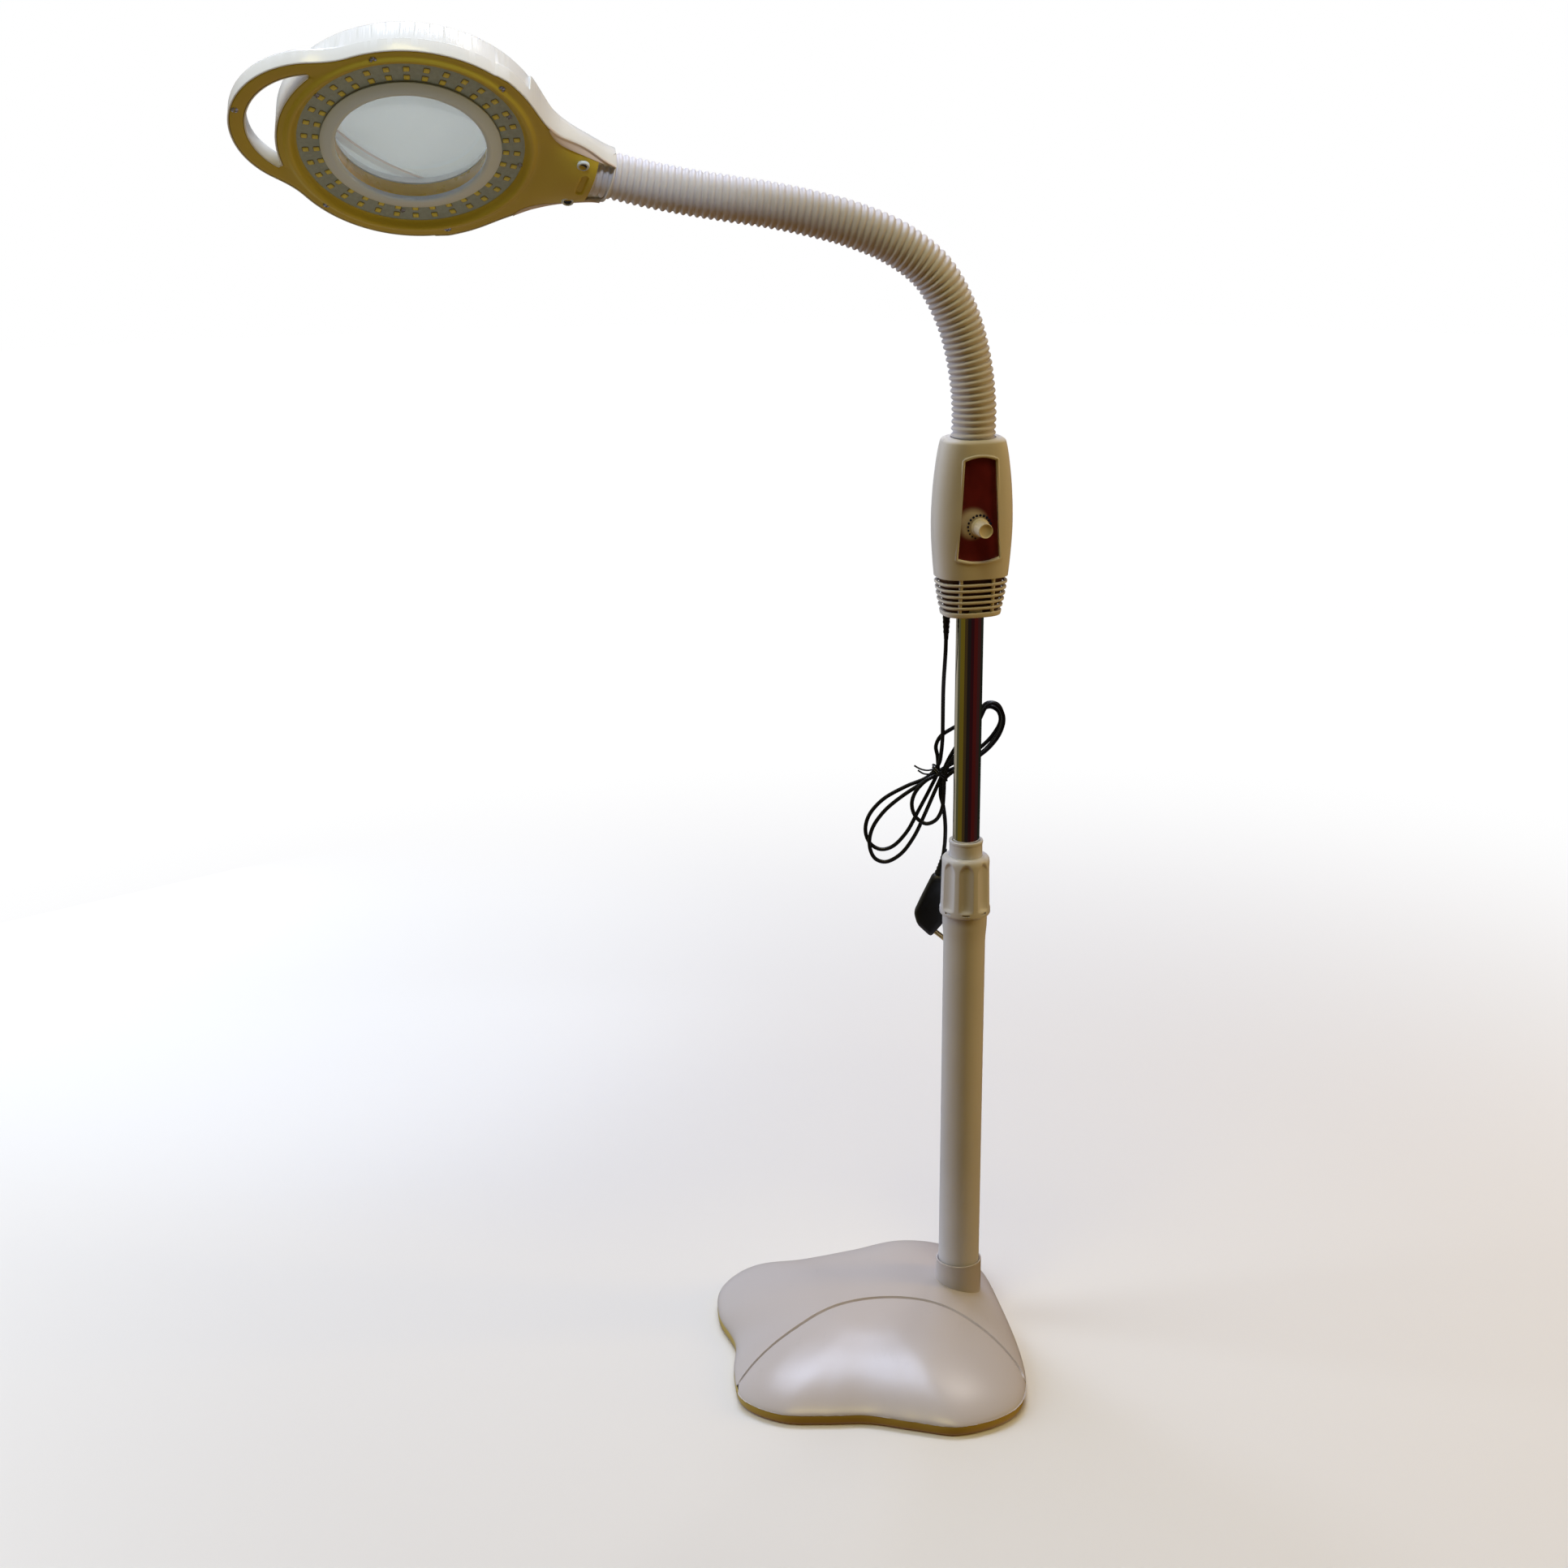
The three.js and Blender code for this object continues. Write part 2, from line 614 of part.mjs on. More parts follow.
const neckLine = new THREE.CatmullRomCurve3(NECK_LINE, false, "centripetal");

function makeGooseneck() {
  const length = neckLine.getLength();
  const stops = [NECK_INTO_BOX, ...NECK_JOINTS, length - 15];
  const pieces = [];
  for (let i = 0; i + 1 < stops.length; i++) {
    const from = stops[i] + (i ? NECK_RELIEF : 0);
    const last = i + 2 === stops.length;
    const to = stops[i + 1] - (last ? 0 : NECK_RELIEF);
    const sleeveEnd = last ? to - NECK_INTO_HEAD : to;
    const outer = swept(new Stretch(neckLine, from, sleeveEnd), NECK_RADIUS, 4, 14);
    const bore = swept(new Stretch(neckLine, from - 1, sleeveEnd + 1), NECK_BORE, 4, 12);
    const core = swept(new Stretch(neckLine, from, to), CORE_RADIUS, 4, 12);
    const coreBore = swept(new Stretch(neckLine, from - 1, to + 1), CORE_BORE, 2, 8);
    pieces.push(piece(`neck_sleeve_${i + 1}`, cut(outer, bore), sleeveWhite));
    pieces.push(piece(`neck_core_${i + 1}`, cut(core, coreBore), steel));
  }
  return pieces;
}

// ---- head ---------------------------------------------------------------------------------

// Handle: a bar bent round a crescent opening, between two heights.
function handleBar(from, to) {
  return cut(
    rod(HANDLE_OUTER, from, to, HANDLE_CENTRE, 0, 30),
    rod(HANDLE_INNER, from - 1, to + 1, HANDLE_CENTRE, 0, 28),
    rod(HEAD_RADIUS - 1.2, from - 1, to + 1, 0, 0, 36),
  );
}

// Neck: sections that narrow from the head's side to the gooseneck, and swell to its height.
function neckSkin(inset, end) {
  const sections = [ // distance from the head's middle, half width, half height
    [-70, 68, 14.5], [-82, 55, 14.8], [-100, 42, 16], [-124, 31, 18.2], [NECK_END, 22, 20.4],
  ];
  const rings = sections.map(([x, wide, high]) => {
    const reach = x === NECK_END ? end : x;
    return [...Array(20).keys()].map((i) => {
      const [c, s] = [Math.cos((TAU * i) / 20), Math.sin((TAU * i) / 20)];
      const y = (wide - inset) * Math.sign(c) * Math.abs(c) ** 0.8;
      const z = NECK_AXIS + (high - inset) * Math.sign(s) * Math.abs(s) ** 0.8;
      return new THREE.Vector3(reach, y, z);
    });
  });
  return loft(rings);
}

function lengthwiseRod(radius, from, to, y = 0, z = NECK_AXIS, sides = 24) {
  const geometry = new THREE.CylinderGeometry(radius, radius, to - from, sides);
  return solid(geometry.rotateZ(Math.PI / 2).translate((from + to) / 2, y, z));
}

function screwHoles(from, to) {
  return Object.values(HEAD_SCREWS).map(([x, y]) => rod(1.7, from, to, x, y, 8));
}

function makeHeadShells() {
  const r = HEAD_RADIUS;
  const w = HEAD_WALL;
  const neck = cut(
    neckSkin(0, NECK_END),
    neckSkin(w, NECK_END + w),
    lengthwiseRod(NECK_RADIUS + 0.9, NECK_END - 2, NECK_END + 14),
    rod(r - w / 2, -20, 60, 0, 0, 36),
  );
  const below = block(400, 400, 60, 0, 0, HEAD_SPLIT - 30);
  const above = block(400, 400, 60, 0, 0, HEAD_SPLIT + GAP + 30);
  const tray = turned([
    [r, 0], [r, HEAD_SPLIT], [r - w, HEAD_SPLIT], [r - w, 6.2], [BOARD_INNER, 6.2],
    [BOARD_INNER, 4.2], [COVER_OUTER + GAP, 4.2], [COVER_OUTER + GAP, 0], [r, 0],
  ], 36);
  const lower = cut(
    unite(tray, handleBar(0, HEAD_SPLIT), neck.intersect(below)),
    ...screwHoles(-9, HEAD_SPLIT + 1),
  );
  const inner = 62.6;
  const seat = HEAD_SPLIT + GAP;
  const ring = turned([
    [r, seat], [r, 20], [r - 7, HEAD_DEPTH], [inner, HEAD_DEPTH], [inner, seat],
    [inner + w, seat], [inner + w, HEAD_DEPTH - w], [r - 8, HEAD_DEPTH - w], [r - w, 19],
    [r - w, seat], [r, seat],
  ], 36);
  const ears = [-1, 1].map((side) => block(8, 5, 8, HINGE_X - 0.5, side * 11, HEAD_DEPTH + 3));
  const upper = cut(
    unite(ring, handleBar(seat, 16), neck.intersect(above), ...ears),
    crossRod(1.9, 60, HINGE_X, HEAD_DEPTH + 4),
  );
  return [
    piece("head_lower_cover", lower, coverKhaki),
    piece("head_upper_shell", upper, shellWhite),
  ];
}

function makeOptics() {
  const board = tube(BOARD_OUTER, BOARD_INNER + GAP, 2.2, 3.9, 36);
  const cover = turned([
    [BEZEL_OUTER + GAP, -0.4], [BEZEL_OUTER + 1.6, -1], [COVER_OUTER - 2, -1],
    [COVER_OUTER, -0.2], [COVER_OUTER, 1.8], [BEZEL_OUTER + GAP, 1.8],
    [BEZEL_OUTER + GAP, -0.4],
  ], 36);
  const sag = LENS_BULGE * (1 - (BEZEL_BORE / LENS_RADIUS) ** 2);
  const bezelTop = LENS_HEIGHT - LENS_EDGE / 2 - sag - GAP;
  const bezel = turned([
    [BEZEL_BORE, 1.5], [BEZEL_BORE - 1.6, -0.8], [BEZEL_BORE, -2.6],
    [BEZEL_OUTER - 2, -2.6], [BEZEL_OUTER, -1], [BEZEL_OUTER, 3.6],
    [BEZEL_BORE + 2, 4.4], [BEZEL_BORE + 2, bezelTop], [BEZEL_BORE, bezelTop],
    [BEZEL_BORE, 1.5],
  ], 36);
  const lensProfile = [];
  for (let i = 0; i <= 3; i++) {
    const t = i / 3;
    const z = LENS_HEIGHT - LENS_EDGE / 2 - LENS_BULGE * (1 - t * t);
    lensProfile.push([LENS_RADIUS * t, z]);
  }
  for (let i = 3; i >= 0; i--) {
    const t = i / 3;
    const z = LENS_HEIGHT + LENS_EDGE / 2 + LENS_BULGE * (1 - t * t);
    lensProfile.push([LENS_RADIUS * t, z]);
  }
  const retainerFoot = LENS_HEIGHT + LENS_EDGE / 2 + GAP;
  const retainer = turned([
    [57.2, retainerFoot + 0.6], [LENS_RADIUS + 2, retainerFoot], [LENS_RADIUS + 2, 28],
    [57.2, 28], [57.2, retainerFoot + 0.6],
  ], 36);
  return [
    piece("led_board", board, boardGrey),
    piece("light_cover", cover, clearPlastic),
    piece("lens_bezel", bezel, shellWhite),
    piece("lens", turned(lensProfile, 30), lensGlass),
    piece("lens_retainer", retainer, shellWhite),
  ];
}

function makeFlap() {
  const low = HEAD_DEPTH + GAP;
  const flap = cut(
    unite(
      turned([
        [0, low + 1.4], [FLAP_RADIUS - 4, low + 0.6], [FLAP_RADIUS - 4, low],
        [FLAP_RADIUS, low], [FLAP_RADIUS, low + 1.6], [FLAP_RADIUS - 2, low + 2.4],
        [0, low + 3.4],
      ], 48),
      block(14, 16, 2.2, HINGE_X + 6, 0, low + 1.3),
      crossRod(3.6, 16, HINGE_X, HEAD_DEPTH + 4),
      block(6, 22, 2, FLAP_RADIUS + 1, 0, low + 1.2),
    ),
    crossRod(1.9, 60, HINGE_X, HEAD_DEPTH + 4),
  );
  return [
    piece("lens_cover", flap, shellWhite),
    piece("cover_hinge_pin", crossRod(1.6, 26, HINGE_X, HEAD_DEPTH + 4), steel),
  ];
}

function makeHeadFasteners() {
  const clamp = cut(
    lengthwiseRod(15.7, -134, -122, 0, NECK_AXIS, 18),
    lengthwiseRod(CORE_RADIUS + 1, -140, -110, 0, NECK_AXIS, 16),
    block(20, 3, 10, -130, 0, NECK_AXIS - 15),
  );
  const screws = Object.entries(HEAD_SCREWS).map(([name, [x, y]]) => {
    const foot = x < -100 ? -2.7 : -0.4;
    return piece(
      name, unite(rod(3, foot - 1.6, foot, x, y, 12), rod(1.4, foot - 0.5, 7, x, y, 8)), steel,
    );
  });
  return [piece("neck_clamp", clamp, steel), ...screws];
}

function makeHead() {
  const head = new THREE.Group();
  head.position.copy(HEAD_CENTRE);
  head.rotation.set(HEAD_ROLL, -HEAD_RISE, Math.PI + HEAD_TURN, "ZYX");
  head.add(...makeHeadShells(), ...makeOptics(), ...makeFlap(), ...makeHeadFasteners());
  return head;
}

// ---- mains lead -----------------------------------------------------------------------------

function makeLead() {
  const drop = swept(new THREE.CatmullRomCurve3(LEAD_DROP, false, "centripetal"), LEAD_RADIUS, 18, 8);
  const tail = swept(new THREE.CatmullRomCurve3(LEAD_TAIL, false, "centripetal"), LEAD_RADIUS, 11, 8);
  const along = new THREE.Vector2(HANK_TO[0] - HANK_FROM[0], HANK_TO[1] - HANK_FROM[1]);
  const heading = along.angle();
  const outline = [];
  for (const [centre, start] of [[HANK_TO, -0.5], [HANK_FROM, 0.5]]) {
    for (let i = 0; i <= 8; i++) {
      const angle = heading + Math.PI * (start + i / 8);
      outline.push([
        centre[0] + HANK_RADIUS * Math.cos(angle), centre[1] + HANK_RADIUS * Math.sin(angle),
      ]);
    }
  }
  const hank = uprightSlab(outline, ...HANK_DEPTH);
  return [
    piece("cord_drop", drop, rubber),
    piece("cord_hank", hank, rubber),
    piece("cord_tail", tail, rubber),
  ];
}

function makePlug() {
  const [x, z] = PLUG_ENTRY;
  const outline = PLUG_OUTLINE.map(([dx, dz]) => [x + dx, z + dz]);
  const body = uprightSlab(outline, ...PLUG_DEPTH);
  const [low, high] = [outline[5], outline[6]];
  const face = new THREE.Vector2(high[0] - low[0], high[1] - low[1]);
  const room = (face.length() - PIN_SPACING) / 2;
  face.normalize();
  const out = new THREE.Vector2(face.y, -face.x);
  const middle = (PLUG_DEPTH[0] + PLUG_DEPTH[1]) / 2;
  const pins = [room, room + PIN_SPACING].map((along) => {
    const pin = new THREE.CylinderGeometry(2, 2, PIN_LENGTH + 2, 10);
    pin.rotateZ(out.angle() - Math.PI / 2).rotateX(Math.PI / 2);
    const reach = PIN_LENGTH / 2 - 1;
    const px = low[0] + face.x * along + out.x * reach;
    const pz = low[1] + face.y * along + out.y * reach;
    return solid(pin.translate(px, middle, pz));
  });
  return piece("plug", unite(body, ...pins), rubber);
}

// ---- the lamp ---------------------------------------------------------------------------------

const pole = makePole();
const lamp = new THREE.Group();
lamp.add(
  ...makeBase(), pole.lower, pole.collet, pole.nut, pole.bush, pole.mast,
  makeControlBox(), ...makeGooseneck(), makeHead(), ...makeLead(), makePlug(),
);

export default lamp;
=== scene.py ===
from bisect import bisect
from itertools import accumulate
from math import atan2, copysign, cos, dist, exp, hypot, pi, radians, sin, sqrt

import bpy
import bmesh
from mathutils import Matrix, Vector
from mathutils.geometry import delaunay_2d_cdt


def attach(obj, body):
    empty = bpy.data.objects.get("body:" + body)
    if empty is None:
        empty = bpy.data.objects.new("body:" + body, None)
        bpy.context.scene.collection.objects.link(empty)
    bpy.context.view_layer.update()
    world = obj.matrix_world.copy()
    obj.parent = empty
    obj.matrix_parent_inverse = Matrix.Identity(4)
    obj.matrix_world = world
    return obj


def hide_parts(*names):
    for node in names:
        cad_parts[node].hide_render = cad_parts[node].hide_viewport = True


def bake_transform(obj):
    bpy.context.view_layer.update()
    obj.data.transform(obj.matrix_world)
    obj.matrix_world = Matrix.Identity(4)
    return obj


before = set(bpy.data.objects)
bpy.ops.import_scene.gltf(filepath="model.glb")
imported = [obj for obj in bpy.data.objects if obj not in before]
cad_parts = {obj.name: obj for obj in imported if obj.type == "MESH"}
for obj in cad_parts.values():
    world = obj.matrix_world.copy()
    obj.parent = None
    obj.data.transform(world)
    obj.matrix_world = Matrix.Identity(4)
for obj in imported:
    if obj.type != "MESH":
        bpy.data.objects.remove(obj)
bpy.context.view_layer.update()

# Floor-standing magnifying lamp. The origin is on the floor, on the pole's axis.
TAU = 2 * pi
MM = 0.001

# ---- dimensions shared with the CAD

BASE_OUTLINE = [
    (57, -128), (45, -170), (4, -196), (-34, -191), (-70, -184), (-106, -187), (-140, -187),
    (-172, -167), (-184, -124), (-187, -80), (-205, -34), (-208, 12), (-188, 46), (-146, 60),
    (-98, 82), (-52, 105), (-12, 100), (17, 66), (35, 8),
]
BASE_CENTRE = (-75, -50)
BASE_RIM = 9
BASE_RISE = 32
GROOVE = [
    (-178, -146), (-160, -121), (-140, -99), (-100, -63), (-62, -49), (-17, -51), (20, -76),
    (46, -105), (57, -126),
]

BOX_TURN = radians(18)
BOX_BOTTOM, BOX_TOP = 627.7, 769.5
BOX_HALF_WIDTH, BOX_HALF_DEPTH = 31.8, 22
BOX_SQUARENESS = 2.8
BOX_PROFILE = [  # share of the height, of the width and of the depth
    (0, 0.73, 0.8), (0.12, 0.845, 0.87), (0.28, 0.94, 0.94), (0.5, 1, 1),
    (0.7, 0.97, 0.995), (0.88, 0.88, 0.965), (0.98, 0.79, 0.93), (1, 0.74, 0.89),
]
PANEL_BOTTOM, PANEL_TOP = 677.0, 753.4
PANEL_HALF_BOTTOM, PANEL_HALF_TOP = 17, 12.6
PANEL_ARCH = 3
KNOB_HEIGHT = 701.6

NECK_LINE = [
    (0, 0, 745), (0, 0, 770), (0, 0, 795), (-5, -0.7, 832), (-15, -2, 865), (-33, -4.6, 896),
    (-60, -8.4, 917.5), (-93, -13, 932), (-125, -17.5, 941), (-155, -21.5, 947.5),
    (-186, -25.5, 952.5), (-216, -29, 957.5), (-246, -32.6, 963.5), (-276, -38.4, 971),
    (-303.4, -48.7, 977.8),
]
NECK_RADIUS = 17.5
NECK_PITCH = 5.2

HEAD_CENTRE = (-411, -100, 995)
HEAD_TURN, HEAD_RISE, HEAD_ROLL = radians(20.7), radians(13.1), radians(44.4)
HEAD_RADIUS = 98
HANDLE_CENTRE, HANDLE_OUTER, HANDLE_INNER = 66, 66, 53
NECK_END = -150
NECK_AXIS = 14
LENS_HEIGHT = 17.2

# Mains lead: its route, with the two open stretches as in the CAD.
LEAD_DIAMETER = 3.3
LEAD_EXIT = (-18.8, -1.5, 605.5)
LEAD_DROP = [
    LEAD_EXIT, (-18.9, -1.2, 598), (-19.4, 2, 586), (-20.1, 9, 572), (-20.5, 16, 558),
    (-20.6, 21.5, 543), (-20.6, 25, 529), (-20.7, 27.5, 515), (-21.6, 29.8, 502),
    (-23.4, 31.2, 492),
]
# Loops of the tied bundle: X and Z of each, after its depth behind the mast.
LEAD_LOOPS = [
    (31.6, [(-32, 480.5), (-50.4, 471.6), (-69.7, 459.6), (-81.2, 445), (-83.7, 431.6),
            (-79.6, 420.9), (-71.5, 416.1), (-62, 418.2), (-50, 430.8), (-39.4, 451.6),
            (-30, 471), (-24.6, 484)]),
    (34.4, [(-24.6, 497), (-26.1, 506), (-22.4, 514.5), (-14, 520.8), (0, 529), (9, 536.5),
            (17.5, 540.6), (24.2, 537.2), (26.4, 529), (21.5, 518), (11.5, 506.5), (-1, 498),
            (-12, 491.5), (-22, 485.5)]),
    (28.4, [(-34.5, 477.2), (-53.5, 464), (-69, 449.6), (-78.4, 434), (-80, 419.2),
            (-75.3, 408.8), (-66.7, 406.1), (-54.5, 412.9), (-43.2, 428.8), (-34.7, 448.2),
            (-27, 467.5), (-21.8, 480)]),
    (31.4, [(-16.8, 493), (-10.5, 505), (-1, 519), (8, 536), (15.5, 544.6), (23.6, 543.6),
            (28, 535.4), (27.3, 525), (20.6, 512.2), (11, 501.5), (-1, 493), (-12, 487.5),
            (-22, 483.5)]),
    (25.4, [(-34, 478.4), (-42.5, 468.5), (-45.2, 457.9), (-41.8, 447.2), (-33.3, 441.4),
            (-25.2, 444.8), (-20.3, 454.4), (-19, 468), (-18.6, 480)]),
    (28.2, [(-16.4, 490), (-10, 500), (0.5, 513.5), (9.6, 532), (14.4, 542), (19.6, 545.4),
            (25.8, 541), (28.9, 532), (26.4, 520.5), (19, 509), (8, 499), (-4, 491),
            (-14, 484.4), (-20.6, 476.4)]),
]
LEAD_TAIL = [
    (-21.6, 28.4, 466), (-19.3, 29, 456), (-17.4, 29.2, 440), (-17.5, 29.6, 424),
    (-19, 30, 410), (-21, 30, 396.8), (-23.2, 30.2, 384), (-24.2, 30.3, 374),
]
PLUG_ENTRY = (-21, 396.5)
PLUG_OUTLINE = [
    (-6, 0), (-15.5, -20.5), (-21.6, -34.8), (-20.3, -40.5), (-18.4, -46), (-7.1, -56.6),
    (11.8, -33), (9, -17), (4.5, 0),
]


# ---- camera

def put(name, data):
    """A new object in the scene."""
    obj = bpy.data.objects.new(name, data)
    bpy.context.collection.objects.link(obj)
    return obj


CAMERA_PLACE = (0, -1.985, 1.123)  # metres
CAMERA_PITCH, CAMERA_ROLL, CAMERA_TURN = radians(17.85), radians(-0.3), radians(-4.3)
SENSOR_WIDTH, FOCAL_LENGTH = 36, 58.7
FAR_CLIP = 50  # metres


def make_camera():
    """Stands 2 m in front of the pole, looking a little down and to the left."""
    pitch, roll, turn = CAMERA_PITCH, CAMERA_ROLL, CAMERA_TURN
    forward = Vector((sin(turn) * cos(pitch), cos(turn) * cos(pitch), -sin(pitch)))
    right = Vector((cos(turn), -sin(turn), 0))
    up = right.cross(forward)
    axes = (cos(roll) * right + sin(roll) * up, cos(roll) * up - sin(roll) * right, -forward)
    data = bpy.data.cameras.new("camera")
    data.sensor_width, data.lens, data.clip_end = SENSOR_WIDTH, FOCAL_LENGTH, FAR_CLIP
    camera = put("camera", data)
    turned = Matrix(axes).transposed().to_4x4()
    camera.matrix_world = Matrix.Translation(CAMERA_PLACE) @ turned
    bpy.context.scene.camera = camera


make_camera()


# ---- lines

def hermite(t, start, leave, end, arrive):
    return (
        (2 * t**3 - 3 * t**2 + 1) * start + (t**3 - 2 * t**2 + t) * leave
        + (3 * t**2 - 2 * t**3) * end + (t**3 - t**2) * arrive
    )


def smooth_line(points, per_span=8, closed=False):
    """A centripetal Catmull-Rom line through the points, as the CAD draws it."""
    p = [Vector(q) for q in points]
    n = len(p)
    out = []
    for i in range(n if closed else n - 1):
        b, c = p[i], p[(i + 1) % n]
        a = p[i - 1] if i or closed else 2 * b - c
        d = p[(i + 2) % n] if i + 2 < n or closed else 2 * c - b
        s0, s1, s2 = [max((v - u).length, 1e-6) ** 0.5 for u, v in ((a, b), (b, c), (c, d))]
        m1 = ((b - a) / s0 - (c - a) / (s0 + s1) + (c - b) / s1) * s1
        m2 = ((c - b) / s1 - (d - b) / (s1 + s2) + (d - c) / s2) * s1
        out += [hermite(k / per_span, b, m1, c, m2) for k in range(per_span)]
    return out if closed else out + [p[-1].copy()]


def distances(line):
    """How far each point is along the line."""
    return list(accumulate(((b - a).length for a, b in zip(line, line[1:])), initial=0.0))


def resample(line, steps):
    """Points at the given distances along a line."""
    run = distances(line)
    out, k = [], 0
    for s in steps:
        while k + 2 < len(run) and run[k + 1] < s:
            k += 1
        t = (s - run[k]) / max(run[k + 1] - run[k], 1e-9)
        out.append(line[k].lerp(line[k + 1], min(max(t, 0), 1.02)))
    return out


def spans(low, high, count):
    return [low + (high - low) * i / count for i in range(count + 1)]


def clamp(x):
    return min(max(x, 0), 1)


def smoothstep(a, b, x):
    t = clamp((x - a) / (b - a))
    return t * t * (3 - 2 * t)


def lerp_table(rows, x):
    """Straight-line interpolation in rows of (x, value)."""
    for a, b in zip(rows, rows[1:]):
        if x <= b[0] or b is rows[-1]:
            return a[1] + (b[1] - a[1]) * clamp((x - a[0]) / (b[0] - a[0]))


def smooth_table(rows, x):
    """Smooth interpolation in rows of (x, values...)."""
    n = len(rows)
    i = max(0, min(n - 2, sum(1 for r in rows[1:] if r[0] < x)))
    b, c = rows[i], rows[i + 1]
    a = rows[i - 1] if i else b
    d = rows[i + 2] if i + 2 < n else c
    h = c[0] - b[0]
    t = clamp((x - b[0]) / h)
    return [
        hermite(t, b[k], (c[k] - a[k]) / (c[0] - a[0]) * h, c[k], (d[k] - b[k]) / (d[0] - b[0]) * h)
        for k in range(1, len(b))
    ]


# ---- materials

class Nodes:
    """A material under construction: short names for the nodes it needs."""

    def __init__(self, name):
        self.material = bpy.data.materials.new(name)
        self.material.use_nodes = True
        self.tree = self.material.node_tree
        self.shader = self.tree.nodes["Principled BSDF"]
        self.place = self.add("TexCoord").outputs["Object"]

    def fill(self, node, values):
        """Sets sockets by name or number; a value that is a socket itself is linked."""
        for key, value in values.items():
            socket = node.inputs[key.replace("_", " ") if isinstance(key, str) else key]
            if hasattr(value, "links"):
                self.tree.links.new(value, socket)
            else:
                socket.default_value = (*value, 1) if socket.type == "RGBA" else value
        return node

    def add(self, kind, **values):
        return self.fill(self.tree.nodes.new("ShaderNode" + kind), values)

    def set(self, **values):
        self.fill(self.shader, values)

    def noise(self, scale, detail=3, rough=0.55, stretch=None):
        node = self.add("TexNoise", Scale=scale, Detail=detail, Roughness=rough)
        place = self.place
        if stretch:
            place = self.add("Mapping", Scale=stretch, Vector=place).outputs["Vector"]
        return self.fill(node, {"Vector": place}).outputs["Fac"]

    def ramp(self, source, low, high, first=0.35, last=0.65):
        node = self.add("ValToRGB", Fac=source)
        for element, place, value in zip(node.color_ramp.elements, (first, last), (low, high)):
            element.position = place
            element.color = (*value, 1) if hasattr(value, "__len__") else (value,) * 3 + (1,)
        return node.outputs["Color"]

    def mix(self, factor, a, b):
        node = self.add("Mix")
        node.data_type = "RGBA"
        return self.fill(node, {0: factor, 6: a, 7: b}).outputs[2]

    def near(self, far_at, near_at, centre=None):
        """Rises smoothly from 0 to 1 between two distances from a place, in metres."""
        away = self.add("VectorMath")
        away.operation = "DISTANCE" if centre else "LENGTH"
        self.fill(away, {0: self.place, 1: centre} if centre else {0: self.place})
        node = self.add("MapRange", From_Min=far_at, From_Max=near_at, Value=away.outputs["Value"])
        node.interpolation_type = "SMOOTHSTEP"
        return node.outputs["Result"]

    def bump(self, height, strength, depth_mm):
        node = self.add("Bump", Strength=strength, Distance=depth_mm * MM, Height=height)
        self.set(Normal=node.outputs["Normal"])


def shade(colour, by):
    return tuple(min(1, c * by) for c in colour)


def plastic(name, colour, rough=0.42, grain=1400, depth=0.03, marks=0.0, coat=0.0, swing=0.04,
            uneven=0.025):
    """Moulded plastic: slight colour drift, fine spark-eroded grain and faint handling marks."""
    m = Nodes(name)
    drift = m.ramp(m.noise(9, 3), shade(colour, 1 - swing), shade(colour, 1 + swing * 0.6))
    if marks:
        spots = m.ramp(m.noise(70, 8, 0.72, (1, 0.35, 0.7)), 0.0, 1.0, 0.60, 0.80)
        drift = m.mix(spots, drift, m.mix(marks, drift, shade(colour, 0.62)))
    m.set(Base_Color=drift, Roughness=m.ramp(m.noise(60, 4), rough - uneven, rough + uneven),
          Specular_IOR_Level=0.5, Coat_Weight=coat, Coat_Roughness=0.15)
    m.bump(m.noise(grain, 2), 0.35, depth)
    return m.material


def metal(name, colour, rough=0.3, grain=900, depth=0.02):
    m = Nodes(name)
    m.set(Base_Color=m.ramp(m.noise(30, 3), shade(colour, 0.92), colour),
          Roughness=m.ramp(m.noise(grain, 3, 0.6), rough * 0.7, rough * 1.25), Metallic=1.0)
    m.bump(m.noise(grain, 2, 0.5), 0.3, depth)
    return m.material


def chrome_plate():
    m = Nodes("chrome_plate")
    m.set(Base_Color=m.ramp(m.noise(14, 4), (0.80, 0.80, 0.81), (0.87, 0.87, 0.87)),
          Roughness=m.ramp(m.noise(55, 5, 0.6, (1, 1, 0.25)), 0.035, 0.10, 0.4, 0.75),
          Metallic=1.0)
    m.bump(m.noise(35, 2, 0.5, (1, 1, 0.15)), 0.12, 0.02)
    return m.material


def clear(name, colour, rough, ior):
    m = Nodes(name)
    m.set(Base_Color=m.ramp(m.noise(40, 3), shade(colour, 0.98), colour),
          Roughness=rough, IOR=ior, Transmission_Weight=1.0)
    m.bump(m.noise(700, 2), 0.15, 0.004)
    return m.material


def milky_cover():
    """Clear ring over the lamps, a little clouded, so that the board shows through."""
    m = Nodes("milky_cover")
    m.set(Base_Color=m.ramp(m.noise(30, 3), (0.72, 0.74, 0.72), (0.80, 0.81, 0.79)),
          Roughness=0.2, Alpha=0.10)
    m.bump(m.noise(500, 2), 0.2, 0.01)
    return m.material


